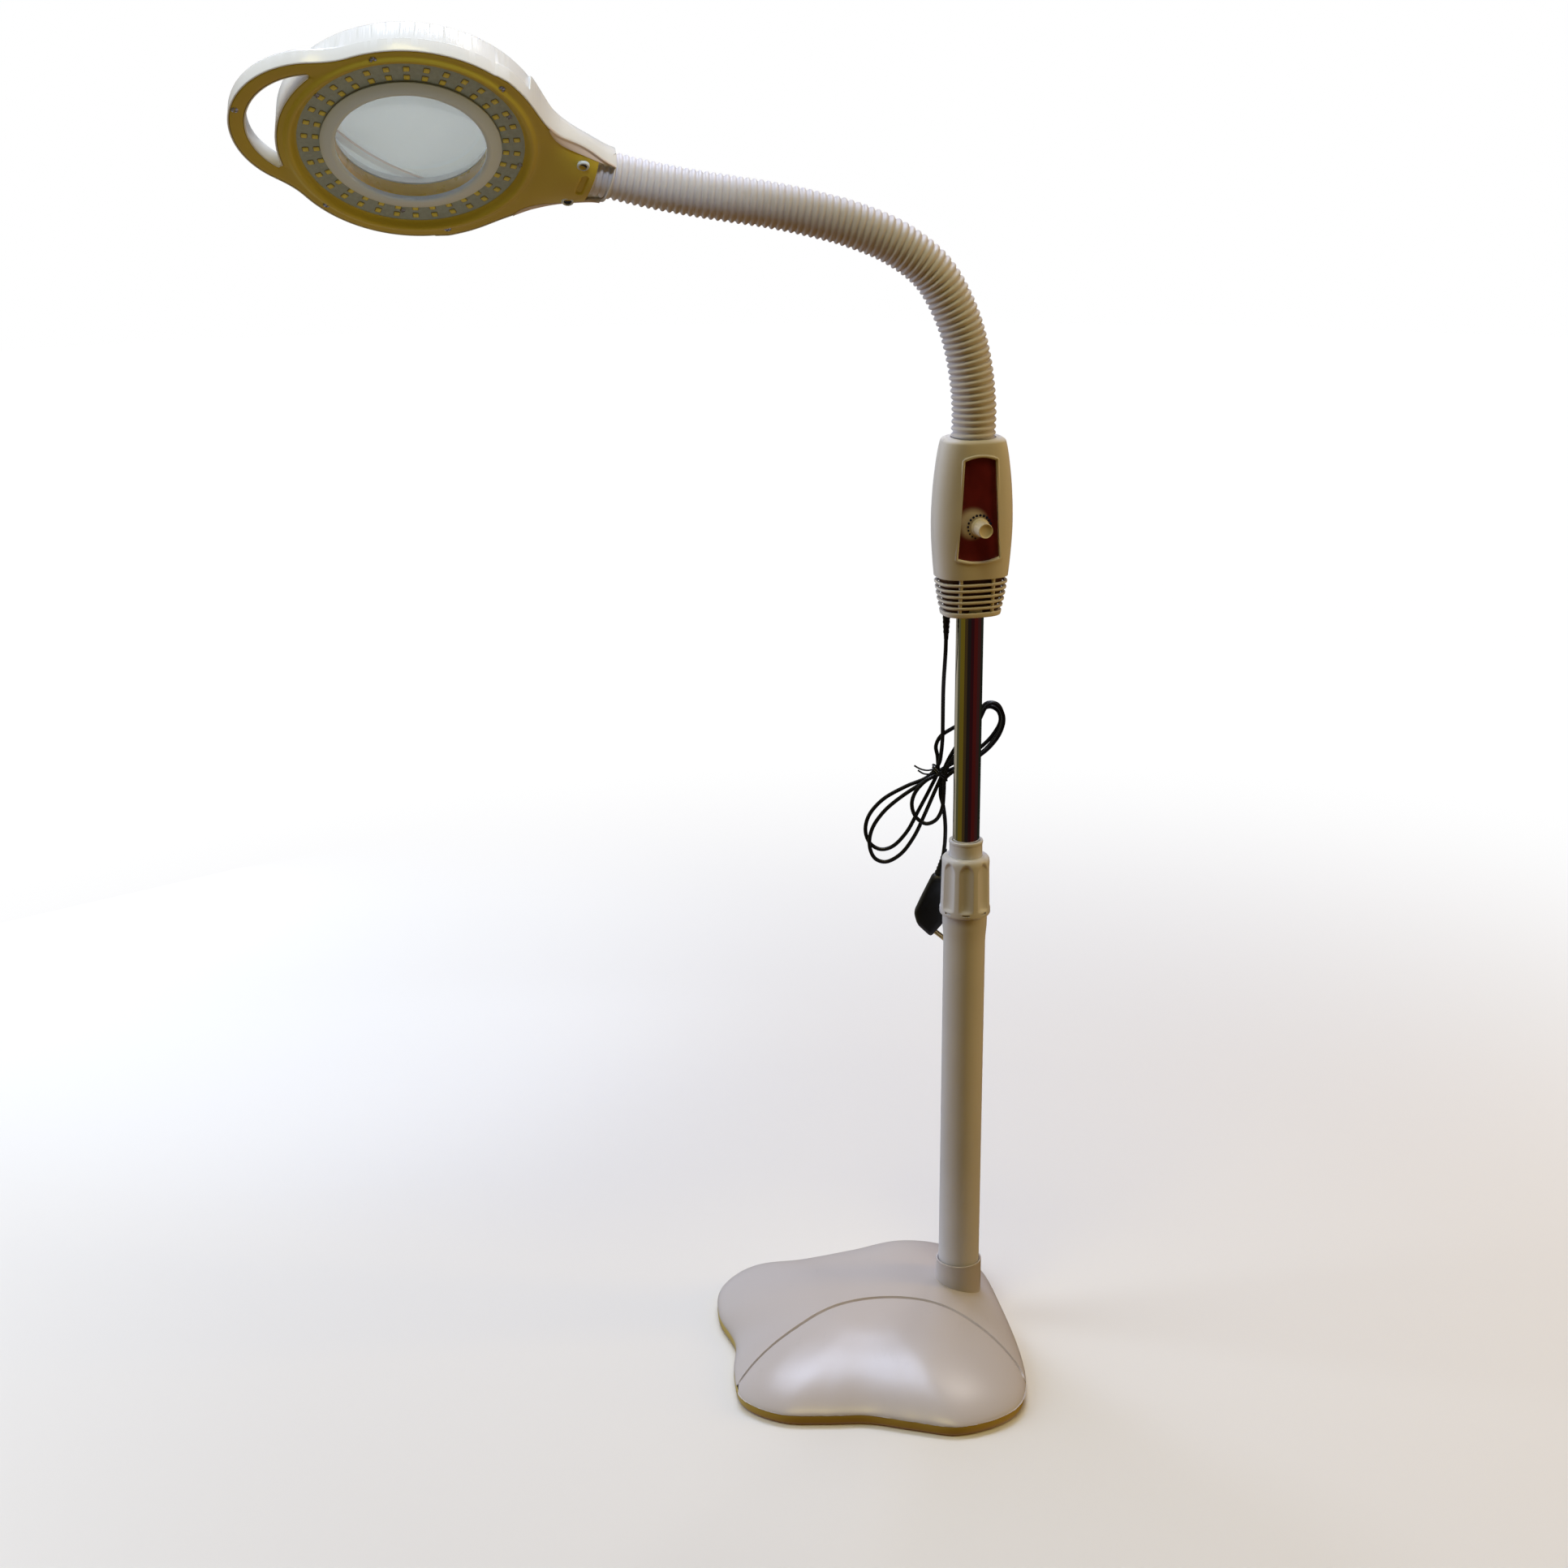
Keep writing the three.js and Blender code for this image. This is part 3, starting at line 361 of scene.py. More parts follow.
def translucent_lid():
    """Thin white moulding that glows a little when it is lit from behind."""
    m = Nodes("lid_white")
    m.set(Base_Color=m.ramp(m.noise(12, 3), (0.74, 0.74, 0.73), (0.79, 0.79, 0.78)),
          Roughness=m.ramp(m.noise(70, 3), 0.3, 0.4))
    m.bump(m.noise(900, 2), 0.2, 0.02)
    through = m.add("BsdfTranslucent", Color=(0.66, 0.69, 0.68))
    both = m.add("MixShader", Fac=0.5)
    m.fill(both, {1: m.shader.outputs["BSDF"], 2: through.outputs["BSDF"]})
    m.fill(m.tree.nodes["Material Output"], {"Surface": both.outputs["Shader"]})
    return m.material


def circuit_board(name, colour, ink):
    """Coated board with a faint weave and printed pads."""
    m = Nodes(name)
    pads = m.add("TexVoronoi", Scale=160, Vector=m.place)
    spots = m.ramp(pads.outputs["Distance"], 1.0, 0.0, 0.16, 0.22)
    base = m.ramp(m.noise(300, 4), shade(colour, 0.9), shade(colour, 1.08))
    m.set(Base_Color=m.mix(spots, base, ink), Roughness=0.5)
    m.bump(m.noise(1500, 2), 0.3, 0.02)
    return m.material


def dial_panel():
    """Maroon print with a painted highlight, a pale patch beside the dial."""
    m = Nodes("panel_plastic")
    red = m.ramp(m.noise(60, 4), (0.115, 0.009, 0.013), (0.165, 0.014, 0.019))
    # Painted highlight: a pale patch near the knob that stands in for a glossy reflection.
    painted_highlight = m.near(0.0145, 0.0075, (0.0010, -0.0215, 0.7045))
    m.set(Base_Color=m.mix(painted_highlight, red, (0.66, 0.60, 0.58)),
          Roughness=m.ramp(m.noise(500, 3), 0.32, 0.46))
    m.bump(m.noise(2400, 2), 0.3, 0.02)
    return m.material


base_plastic = plastic("base_plastic", (0.552, 0.513, 0.514), 0.29, 1100, 0.03, 0.24,
                       swing=0.02, uneven=0.012)
# Gold of the rim band is a painted reflection of warm floor light; the rim is the same plastic as
# the dome.
base_rim_painted_warm = plastic("base_rim_painted_warm", (0.66, 0.52, 0.14), 0.36, 1100, 0.03, 0.1,
                           swing=0.02, uneven=0.012)
tube_plastic = plastic("tube_plastic", (0.678, 0.677, 0.712), 0.46, 1300, 0.02, 0.12)
nut_plastic = plastic("nut_plastic", (0.70, 0.71, 0.78), 0.30, 1500, 0.02, 0.1)
box_plastic = plastic("box_plastic", (0.744, 0.725, 0.715), 0.48, 1700, 0.05, 0.1)
# Dark brown of the sheet inside the grille is painted shade of the box's hollow inside.
grille_painted_shade = plastic("grille_painted_shade", (0.075, 0.028, 0.010), 0.6, 900)
panel_plastic = dial_panel()
knob_plastic = plastic("knob_plastic", (0.78, 0.72, 0.60), 0.42, 1500, 0.02)
dot_ink = plastic("dot_ink", (0.004, 0.008, 0.06), 0.55, 2000, 0.01)
sleeve_plastic = plastic("sleeve_plastic", (0.70, 0.69, 0.76), 0.47, 1200, 0.03, 0.15)
shell_plastic = plastic("shell_plastic", (0.82, 0.835, 0.86), 0.24, 900, 0.012, coat=0.3,
                        swing=0.02)
# Olive-gold of the head's underside is painted shade: white plastic in dim warm light.
underside_painted_shade = plastic("underside_painted_shade", (0.56, 0.43, 0.05), 0.38, 1300, 0.03, 0.12, swing=0.08)
# Beige of the neck leaves and of the lid's thin line is painted shade: white walls in dim warm
# light.
leaf_painted_shade = plastic("leaf_painted_shade", (0.74, 0.64, 0.60), 0.45, 1300, 0.03, 0.1)
bezel_plastic = plastic("bezel_plastic", (0.66, 0.75, 0.88), 0.3, 1000, 0.02, coat=0.2)
# Orange-gold of the lens well is painted shade: its wall in dim warm light.
well_painted_shade = plastic("well_painted_shade", (0.80, 0.52, 0.06), 0.28, 1000, 0.02, coat=0.4)
black_rubber = plastic("black_rubber", (0.005, 0.006, 0.007), 0.46, 1600)
foot_rubber = plastic("foot_rubber", (0.03, 0.03, 0.032), 0.75, 1500, 0.06)
inner_plastic = plastic("inner_plastic", (0.42, 0.43, 0.41), 0.5, 1300)
chrome = chrome_plate()
zinc = metal("zinc", (0.62, 0.63, 0.64), 0.32)
brass = metal("pin_brass", (0.72, 0.56, 0.26), 0.25)
iron = metal("cast_iron_grey", (0.16, 0.16, 0.17), 0.7, 350, 0.2)
lens_clear = clear("lens_clear", (0.985, 0.995, 0.99), 0.0, 1.49)
cover_milky = milky_cover()
lid_white = translucent_lid()
led_board_grey = circuit_board("led_board_grey", (0.34, 0.42, 0.46), (0.40, 0.47, 0.51))
driver_green = circuit_board("driver_green", (0.02, 0.14, 0.06), (0.5, 0.45, 0.3))
led_yellow = plastic("led_yellow", (0.78, 0.66, 0.015), 0.3, 3000, 0.01, coat=0.3)
# Dark olive of the lamps' cases is painted shade; the cases themselves are pale.
led_case_painted_shade = plastic("led_case_painted_shade", (0.20, 0.17, 0.05), 0.4, 3000, 0.01)


# ---- meshes

def smooth_shading(mesh, crease):
    mesh.polygons.foreach_set("use_smooth", [True] * len(mesh.polygons))
    mesh.set_sharp_from_angle(angle=radians(crease))


def circle(radius, count=200, x=0.0, y=0.0):
    return [(x + radius * cos(TAU * i / count), y + radius * sin(TAU * i / count))
            for i in range(count)]


def raised(points, z):
    """Flat points at a height."""
    return [(x, y, z) for x, y in points]


class Mesh:
    """Points, in millimetres, and faces gathered from several simple shapes."""

    def __init__(self):
        self.verts, self.faces = [], []

    def add(self, verts, faces, matrix=None):
        start = len(self.verts)
        self.verts += [matrix @ Vector(v) if matrix else Vector(v) for v in verts]
        self.faces += [tuple(start + i for i in f) for f in faces]
        return self

    def grid(self, rows, around=False, ends=(False, False), matrix=None):
        """Skin over rows of points; around joins each row's ends, ends close the outer rows."""
        n, last = len(rows[0]), (len(rows) - 1) * len(rows[0])
        faces = [(k + i, k + (i + 1) % n, k + n + (i + 1) % n, k + n + i)
                 for k in range(0, last, n) for i in range(n if around else n - 1)]
        faces += [tuple(range(k, k + n)) for k, wanted in zip((0, last), ends) if wanted]
        return self.add([p for row in rows for p in row], faces, matrix)

    def tube(self, rows, matrix=None):
        """Rows of points joined round and closed at both ends."""
        return self.grid(rows, True, (True, True), matrix)

    def lathe(self, profile, sides=96, matrix=None):
        """A profile of (radius, height) turned about Z."""
        return self.grid([raised(circle(r, sides), z) for r, z in profile], True, matrix=matrix)

    def build(self, name, matrix=None):
        mesh = bpy.data.meshes.new(name)
        mesh.from_pydata([tuple(v * MM) for v in self.verts], [], self.faces)
        if matrix:
            mesh.transform(matrix)
        bm = bmesh.new()
        bm.from_mesh(mesh)
        bmesh.ops.remove_doubles(bm, verts=bm.verts, dist=1e-6)
        bmesh.ops.dissolve_degenerate(bm, edges=bm.edges, dist=1e-7)
        bmesh.ops.recalc_face_normals(bm, faces=bm.faces)
        bm.to_mesh(mesh)
        bm.free()
        return put(name, mesh)

    def piece(self, name, material, body, slot, node=None, crease=35, matrix=None):
        """A piece that rides on a body and stands for a CAD node."""
        obj = self.build(name, matrix)
        obj.data.materials.append(material)
        smooth_shading(obj.data, crease)
        if body:
            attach(obj, body)
        if node:
            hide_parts(node)
        return obj


def rounded(profile, radius, steps=4, closed=False):
    """The profile with its corners rounded; a radius list gives one to each corner."""
    n = len(profile)
    radii = radius if hasattr(radius, "__len__") else [radius] * n
    out = []
    for i, p in enumerate(map(Vector, profile)):
        a, b = Vector(profile[i - 1]) - p, Vector(profile[(i + 1) % n]) - p
        reach = min(radii[i], a.length * 0.49, b.length * 0.49)
        if not closed and i in (0, n - 1) or reach < 1e-6:
            out.append(tuple(p))
            continue
        a, b = p + a.normalized() * reach, p + b.normalized() * reach
        out += [tuple((1 - t) ** 2 * a + 2 * t * (1 - t) * p + t**2 * b)
                for t in spans(0, 1, steps)]
    return out


def frames_along(line):
    """Points of a line with two directions across it that don't twist."""
    out = []
    side = None
    for i, p in enumerate(line):
        t = (line[min(i + 1, len(line) - 1)] - line[max(i - 1, 0)]).normalized()
        side = side or t.orthogonal()
        side = (side - side.dot(t) * t).normalized()
        out.append((p, side, t.cross(side)))
    return out


def swept_rows(line, radii, sides):
    """Rings round a line, one at each of its points."""
    return [
        [p + r * (cos(TAU * i / sides) * a + sin(TAU * i / sides) * b) for i in range(sides)]
        for (p, a, b), r in zip(frames_along(line), radii)
    ]


def at(x, y, z):
    return Matrix.Translation((x, y, z))


# ---- mains lead

DEPTH_PASSES = 14


def lead_route():
    """Middle of the lead, from the box through the loops of the hank to the plug."""
    points = list(LEAD_DROP)
    for depth, loop in LEAD_LOOPS:
        points += [(x, depth, z) for x, z in loop]
    line = smooth_line(points + LEAD_TAIL, 6)
    # Even out the steps in depth between one loop and the next.
    depths = [p.y for p in line]
    for _ in range(DEPTH_PASSES):
        inner = [sum(near) / 3 for near in zip(depths, depths[1:], depths[2:])]
        depths = [depths[0], *inner, depths[-1]]
    return [Vector((p.x, y, p.z)) for p, y in zip(line, depths)]


def make_lead():
    """The lead as a curve with a round section, and its length in metres."""
    line = lead_route()
    curve = bpy.data.curves.new("mains_lead", "CURVE")
    curve.dimensions = "3D"
    curve.bevel_depth = LEAD_DIAMETER / 2 * MM
    curve.bevel_resolution = 5
    curve.use_fill_caps = True
    spline = curve.splines.new("POLY")
    spline.points.add(len(line) - 1)
    for point, p in zip(spline.points, line):
        point.co = (*(p * MM), 1)
    lead = put("mains_lead", curve)
    curve.materials.append(black_rubber)
    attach(lead, "column")
    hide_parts("cord_drop", "cord_hank", "cord_tail")
    return lead, distances(line)[-1] * MM


lead, LEAD_LENGTH = make_lead()

PLUG_DEPTH = 30.3  # middle of the plug behind the mast's axis
PLUG_ROUND = 3.2
# Steps from the plug's middle to its flat side: depth, and share of the outline.
PLUG_SIDE = [(2.2, 0.995), (4.2, 0.955), (5.6, 0.88), (6.3, 0.80)]
COLLAR_LINE = [(-17.4, 29.4, 418), (-18.2, 29.7, 411), (-20, 30, 402), (-22.6, 30, 391)]
COLLAR_THIN, COLLAR_GROWTH = 1.9, 2.9  # radius at the lead, and how much it grows
COLLAR_RIB, COLLAR_RIB_PITCH = 0.35, 3.4
PIN_PITCH = 19
PIN_ROOT = 2  # how far a pin starts inside the plug
PIN_PROFILE = ((0, 2), (19.6, 2), (20.4, 1.8), (20.9, 1.2), (21, 0.4))  # length, radius


def make_plug():
    """Flat angled two-pin plug with a ribbed collar."""
    outline = [(PLUG_ENTRY[0] + x, PLUG_ENTRY[1] + z) for x, z in PLUG_OUTLINE]
    soft = [Vector(p) for p in rounded(outline, PLUG_ROUND, 4, True)]
    middle = Vector((sum(p.x for p in soft), sum(p.y for p in soft))) / len(soft)
    body = Mesh().tube([
        [(middle.x + (p.x - middle.x) * share, PLUG_DEPTH + depth,
          middle.y + (p.y - middle.y) * share) for p in soft]
        for depth, share in [(-d, s) for d, s in PLUG_SIDE[::-1]] + [(0, 1)] + PLUG_SIDE
    ])
    # Collar round the lead where it enters, wider towards the plug.
    line = smooth_line(COLLAR_LINE, 12)
    run = distances(line)
    radii = []
    for s in run:
        t = s / run[-1]
        ribbed = sin(TAU * s / COLLAR_RIB_PITCH) > 0.1 and 0.15 < t < 0.8
        radii.append(COLLAR_THIN + COLLAR_GROWTH * t**1.3 + (COLLAR_RIB if ribbed else 0))
    body.tube(swept_rows(line, radii, 20))
    plug = body.piece("plug_body", black_rubber, "column", "rubber", "plug")
    # Pins square to the plug's slanting end.
    low, high = Vector((*outline[5], 0)), Vector((*outline[6], 0))
    face = (high - low).normalized()
    out = Vector((face.y, -face.x, 0))
    room = ((high - low).length - PIN_PITCH) / 2
    pins = Mesh()
    for reach in (room, room + PIN_PITCH):
        rows = []
        for s, r in PIN_PROFILE:
            centre = low + face * reach - out * PIN_ROOT + out * s
            rows.append([(centre.x + u * face.x, PLUG_DEPTH + v, centre.y + u * face.y)
                         for u, v in circle(r, 20)])
        pins.tube(rows)
    return plug, pins.piece("plug_pins", brass, "column", "steel")


TIE_MIDDLE = (-22.5, 30, 485)
TIE_WIDE, TIE_DEEP = 8.2, 6.8  # half sizes of its loop, across the bundle and through it
TIE_SLANT = (0.72, 0.62)  # how the loop's width runs to the right and down
TIE_PITCH = 4.5
TIE_RADIUS = 0.75
TIE_ENDS = (
    [(-27.5, 24.5, 489), (-33, 22.8, 488.6), (-38.5, 22.6, 489.8), (-43.6, 23.4, 492.4)],
    [(-27, 24.2, 486.5), (-31.5, 22.6, 485.4), (-36, 22.8, 485.8), (-40.5, 23.8, 488.2)],
)


def make_twist_tie():
    """Black wire tie wound twice round the bundle, its two ends sticking out to the left."""
    x, y, z = TIE_MIDDLE
    wound = []
    for t in spans(0, 1, 48):
        across = TIE_WIDE * cos(TAU * 2 * t)
        wound.append(Vector((x + across * TIE_SLANT[0], y + TIE_DEEP * sin(TAU * 2 * t),
                             z - across * TIE_SLANT[1] + TIE_PITCH * (t - 0.5))))
    tie = Mesh()
    for line in (wound, *(smooth_line(end, 5) for end in TIE_ENDS)):
        tie.tube(swept_rows(line, [TIE_RADIUS] * len(line), 8))
    return tie.piece("twist_tie", black_rubber, "column", "rubber")


plug_body, plug_pins = make_plug()
tie = make_twist_tie()


# ---- base

class Radial:
    """Distance from a centre to a line, by direction."""

    def __init__(self, line, centre):
        away = [p - Vector((*centre, 0)) for p in line]
        rows = sorted((atan2(d.y, d.x), d.length) for d in away)
        self.rows = [(rows[-1][0] - TAU, rows[-1][1])] + rows + [(rows[0][0] + TAU, rows[0][1])]

    def __call__(self, angle):
        angle = (angle + pi) % TAU - pi
        low = min(max(bisect(self.rows, angle, key=lambda r: r[0]) - 1, 0), len(self.rows) - 2)
        (a, ra), (b, rb) = self.rows[low : low + 2]
        return ra + (rb - ra) * (angle - a) / max(b - a, 1e-9)


base_line = smooth_line([(x, y, 0) for x, y in BASE_OUTLINE], 24, True)
base_reach = Radial(base_line, BASE_CENTRE)


def base_height(x, y):
    """Dome over the base, with a fuller lobe in front."""
    dx, dy = x - BASE_CENTRE[0], y - BASE_CENTRE[1]
    reach = hypot(dx, dy)
    share = min(reach / base_reach(atan2(dy, dx)), 1)
    front = smoothstep(0.1, 0.95, -dy / max(reach, 1e-6)) * smoothstep(20, 70, reach)
    return BASE_RIM + BASE_RISE * (1 - share ** (2.4 - 0.35 * front)) ** (0.625 + 0.14 * front)


GROOVE_HALF, GROOVE_DEPTH = 2.1, 3.3
GROOVE_HUB = (-60, -112)
RIM_REACH = 130  # about how far the base's edge is from its centre
RIM_BAND = [(9.2, 0.5), (8.6, 0.1), (7.5, 0), (3, 0.1), (1.8, 0.5), (1.2, 1.2), (1.2, 3)]


def dome_row(spot, room, count):
    """From the middle of the groove to the edge; spot gives the place at a distance."""
    steps = [(0, 1), (0.35, 0.75), (0.75, 0.3), (1, 0.04 / GROOVE_DEPTH)]
    places = []
    for offset, sunk in steps:
        s = min(offset * GROOVE_HALF, room - 0.2)
        places.append((s, sunk * GROOVE_DEPTH * min(1, (room - s) / 6)))
    first = min(GROOVE_HALF * 1.4, room - 0.15)
    places += [(first + (room - first) * sin(t * pi / 2) ** 0.9, 0) for t in spans(0, 1, count)]
    row = [(*spot(s), sunk) for s, sunk in places]
    return [(x, y, base_height(x, y) - sunk) for x, y, sunk in row]


def make_base():
    """Dome in two patches, behind and in front of the groove, a rim band and the collar."""
    groove = smooth_line([(x, y, 0) for x, y in GROOVE], 12)
    hub_x, hub_y = GROOVE_HUB
    groove_reach, edge_reach = Radial(groove, GROOVE_HUB), Radial(base_line, GROOVE_HUB)
    start = atan2(GROOVE[-1][1] - hub_y, GROOVE[-1][0] - hub_x)
    end = atan2(GROOVE[0][1] - hub_y, GROOVE[0][0] - hub_x) + TAU
    dome = Mesh()
    # Behind the groove: rays from the hub.
    rows = []
    for angle in spans(start, end, 300):
        far = edge_reach(angle)
        near = min(groove_reach(angle), far - 0.3)
        rows.append(dome_row(lambda s: (hub_x + (near + s) * cos(angle),
                                        hub_y + (near + s) * sin(angle)), far - near, 44))
    dome.grid(rows)
    # In front of it: lines along Y.
    groove_by_x = [(p.x, p.y) for p in groove]
    left, right = groove[0].x, groove[-1].x
    front_edge = [(p.x, p.y) for p in base_line if p.y < -125 or (p.y < -120 and p.x > 0)]
    rows = []
    for t in spans(0, 1, 260):
        x = left + (right - left) * (0.5 - 0.5 * cos(pi * t))
        top = lerp_table(groove_by_x, x)
        bottom = min([top - 0.3] + [y for px, y in front_edge if abs(px - x) < 1.4])
        rows.append(dome_row(lambda s: (x, top - s), top - bottom, 40))
    dome.grid(rows)
    # Rim band, a little rounded at its foot, coloured with a painted warm reflection.
    cx, cy = BASE_CENTRE
    Mesh().grid([
        [(p.x + (cx - p.x) * inset / RIM_REACH, p.y + (cy - p.y) * inset / RIM_REACH, z)
         for p in base_line]
        for z, inset in RIM_BAND
    ], True).piece("base_rim", base_rim_painted_warm, "stand", "base_grey", crease=48)
    # Collar that the pole stands in.
    dome.lathe(rounded(
        [(17.7, 20), (17.7, 54.4), (18.2, 55.4), (19.5, 55.4), (19.3, 52.5), (19.3, 20)],
        [0, 0.2, 0.3, 0.8, 0.6, 0]))
    dome.piece("base_dome", base_plastic, "stand", "base_grey", "base_shell", 48)


def coat(material, *nodes):
    """Gives CAD nodes that stay a better material."""
    for name in nodes:
        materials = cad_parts[name].data.materials
        materials.clear()
        materials.append(material)


make_base()
coat(foot_rubber, "foot_pole", "foot_back", "foot_left", "foot_front_left", "foot_front_right",
     "base_cover")


# ---- pole

def make_pole():
    """Lower pole, the collar in its mouth and the chromed mast, each turned from a section."""
    Mesh().lathe(rounded(
        [(15.6, 18), (17.3, 18), (17.3, 352), (18.4, 364), (18.4, 373), (16.9, 373.2),
         (16.9, 416), (15.6, 416), (15.6, 18)], [0, 0.2, 8, 3, 0.8, 0, 0.4, 0.4, 0], 5),
    ).piece("pole_lower", tube_plastic, "stand", "tube_grey", "lower_tube")
    Mesh().lathe(rounded(
        [(11.3, 396), (15.3, 396), (15.3, 414), (13.7, 418), (13.5, 434.4), (14.0, 435.2),
         (14.0, 437.4), (11.3, 437.4), (11.3, 396)], [0, 0.4, 0.8, 1, 0.4, 0.4, 0.9, 0.5, 0]),
    ).piece("pole_collar", nut_plastic, "stand", "nut_grey", "clamp_collet")
    Mesh().lathe(rounded([(10, 236), (11, 236), (11, 656), (10, 656), (10, 236)],
                         [0, 0.3, 0.3, 0.3, 0], 3), 128,
                 ).piece("mast", chrome, "column", "chrome", "mast_tube")


# Height and radius of the twist lock; below its arches, how deep its hollows are too.
NUT_LEVELS = [
    (374.0, 18.0, 0), (374.0, 20.2, 0), (374.3, 20.7, 0), (374.9, 20.9, 0), (376.5, 20.95, 0),
    (376.7, 20.95, 0), (378.4, 20.95, 0), (378.6, 20.95, 0), (379.4, 20.9, 0.1),
    (380.6, 20.9, 0.7), (382, 20.85, 1), (388, 20.7, 1), (396, 20.5, 1), (404, 20.3),
    (411, 20.15), *[(412.5 + 0.65 * k, 20.1 - 0.02 * k) for k in range(11)], (419.7, 19.8),
    (420.8, 19.6), (422.0, 19.1), (423.1, 18.2), (423.7, 17.2), (424.0, 16.2), (424.0, 13.9),
]


FLUTES, FLUTE_TURN, FLUTE_DEPTH = 8, radians(87), 2.0
NOTCH_LOW, NOTCH_HIGH, NOTCH_DEPTH = 376.6, 378.5, 1.2  # the slots at the hollows' feet


def make_nut():
    """Smooth lobed shoulder over eight wide hollows, each with a short slot at its foot."""
    sides = 320
    rows = []
    for z, r, *hollow in NUT_LEVELS:
        row = []
        for i in range(sides):
            angle = TAU * i / sides
            away = abs(((angle + FLUTE_TURN) * FLUTES / TAU + 0.5) % 1 - 0.5)
            arch = 46 * away * away
            deep = hollow[0] if hollow else smoothstep(421.5 - arch, 418.3 - arch, z)
            radius = r - FLUTE_DEPTH * deep * cos(pi * min(away / 0.74, 0.5)) ** 0.9
            if NOTCH_LOW < z < NOTCH_HIGH and away < 0.17:
                radius -= NOTCH_DEPTH
            row.append((radius * cos(angle), radius * sin(angle), z))
        rows.append(row)
    nut = Mesh().grid(rows, True)
    nut.lathe([(13.9, 424), (13.9, 421), (17.7, 417.5), (17.7, 374.0), (18.0, 374.0)], sides)
    nut.piece("twist_lock", nut_plastic, "nut", "nut_grey", "lock_nut", 50)


make_pole()
make_nut()


# ---- control box

box_frame = Matrix.Rotation(BOX_TURN, 4, "Z")
WALL = 3.4
NECK_HOLE = 17.9
PANEL_SINK = 1.9
GRILLE_TOP = 659.2
GRILLE_RIBS = [629.9] + [635.6 + 4.75 * k for k in range(5)]
GRILLE_BAR = ((-1.3, -1.6), (-1.3, 0), (-0.8, 0.35), (0.8, 0.35), (1.3, 0), (1.3, -1.6))


def box_piece(shape, name, node=None, crease=40, material=box_plastic, slot="box_ivory",
              body="column"):
    return shape.piece(name, material, body, slot, node, crease, box_frame)


def box_half(z):
    """Half width and half depth of the box at a height."""
    share = (z - BOX_BOTTOM) / (BOX_TOP - BOX_BOTTOM)
    wide, deep = smooth_table(BOX_PROFILE, clamp(share))
    return wide * BOX_HALF_WIDTH, deep * BOX_HALF_DEPTH


def box_point(angle, z, inset=0.0):
    """Place on the box's barrel, or on the same shape inside it."""
    a, b = (half - inset for half in box_half(z))
    power = 2 / BOX_SQUARENESS
    c, s = cos(angle), sin(angle)
    return (a * copysign(abs(c) ** power, c), b * copysign(abs(s) ** power, s), z)


def box_ring(angles, z, inset=0.0):
    return [box_point(a, z, inset) for a in angles]


def box_surface_y(x, z, inset):
    """Front face of the barrel at a place seen from the front."""
    a, b = (half - inset for half in box_half(z))
    return -b * max(0, 1 - abs(x / a) ** BOX_SQUARENESS) ** (1 / BOX_SQUARENESS)


def even_angles(count=160, fine=2000):
    """Angles that space a section's points evenly along it."""
    points = box_ring([TAU * i / fine for i in range(fine + 1)], 700)
    run = list(accumulate(map(dist, points, points[1:]), initial=0.0))
    out, k = [], 0
    for i in range(count):
        while run[k + 1] < run[-1] * i / count:
            k += 1
        out.append(TAU * k / fine)
    return out


BOX_ANGLES = even_angles()
HALVES = (
    (-1, "front", [pi] + [a for a in BOX_ANGLES if sin(a) < -1e-9] + [TAU]),
    (1, "rear", [0.0] + [a for a in BOX_ANGLES if sin(a) > 1e-9] + [pi]),
)


def panel_outline(grow, steps=14):
    """The panel's arched outline, grown by a distance."""
    foot = [(t * (PANEL_HALF_BOTTOM + grow), PANEL_BOTTOM - grow + PANEL_ARCH * (t * t - 1))
            for t in spans(-1, 1, steps)]
    return foot + [(t * (PANEL_HALF_TOP + grow), PANEL_TOP + grow + PANEL_ARCH * (1 - t * t))
                   for t in spans(1, -1, steps)]


def cut_away(obj, tool):
    """Takes the tool's space out of the piece and drops the tool."""
    modifier = obj.modifiers.new("cut", "BOOLEAN")
    modifier.operation = "DIFFERENCE"
    modifier.solver = "EXACT"
    modifier.object = tool
    bpy.context.view_layer.update()
    done = bpy.data.meshes.new_from_object(
        obj.evaluated_get(bpy.context.evaluated_depsgraph_get()))
    obj.modifiers.clear()
    old, obj.data = obj.data, done
    done.name = old.name
    bpy.data.meshes.remove(old)
    bpy.data.objects.remove(tool)
    bpy.context.view_layer.update()


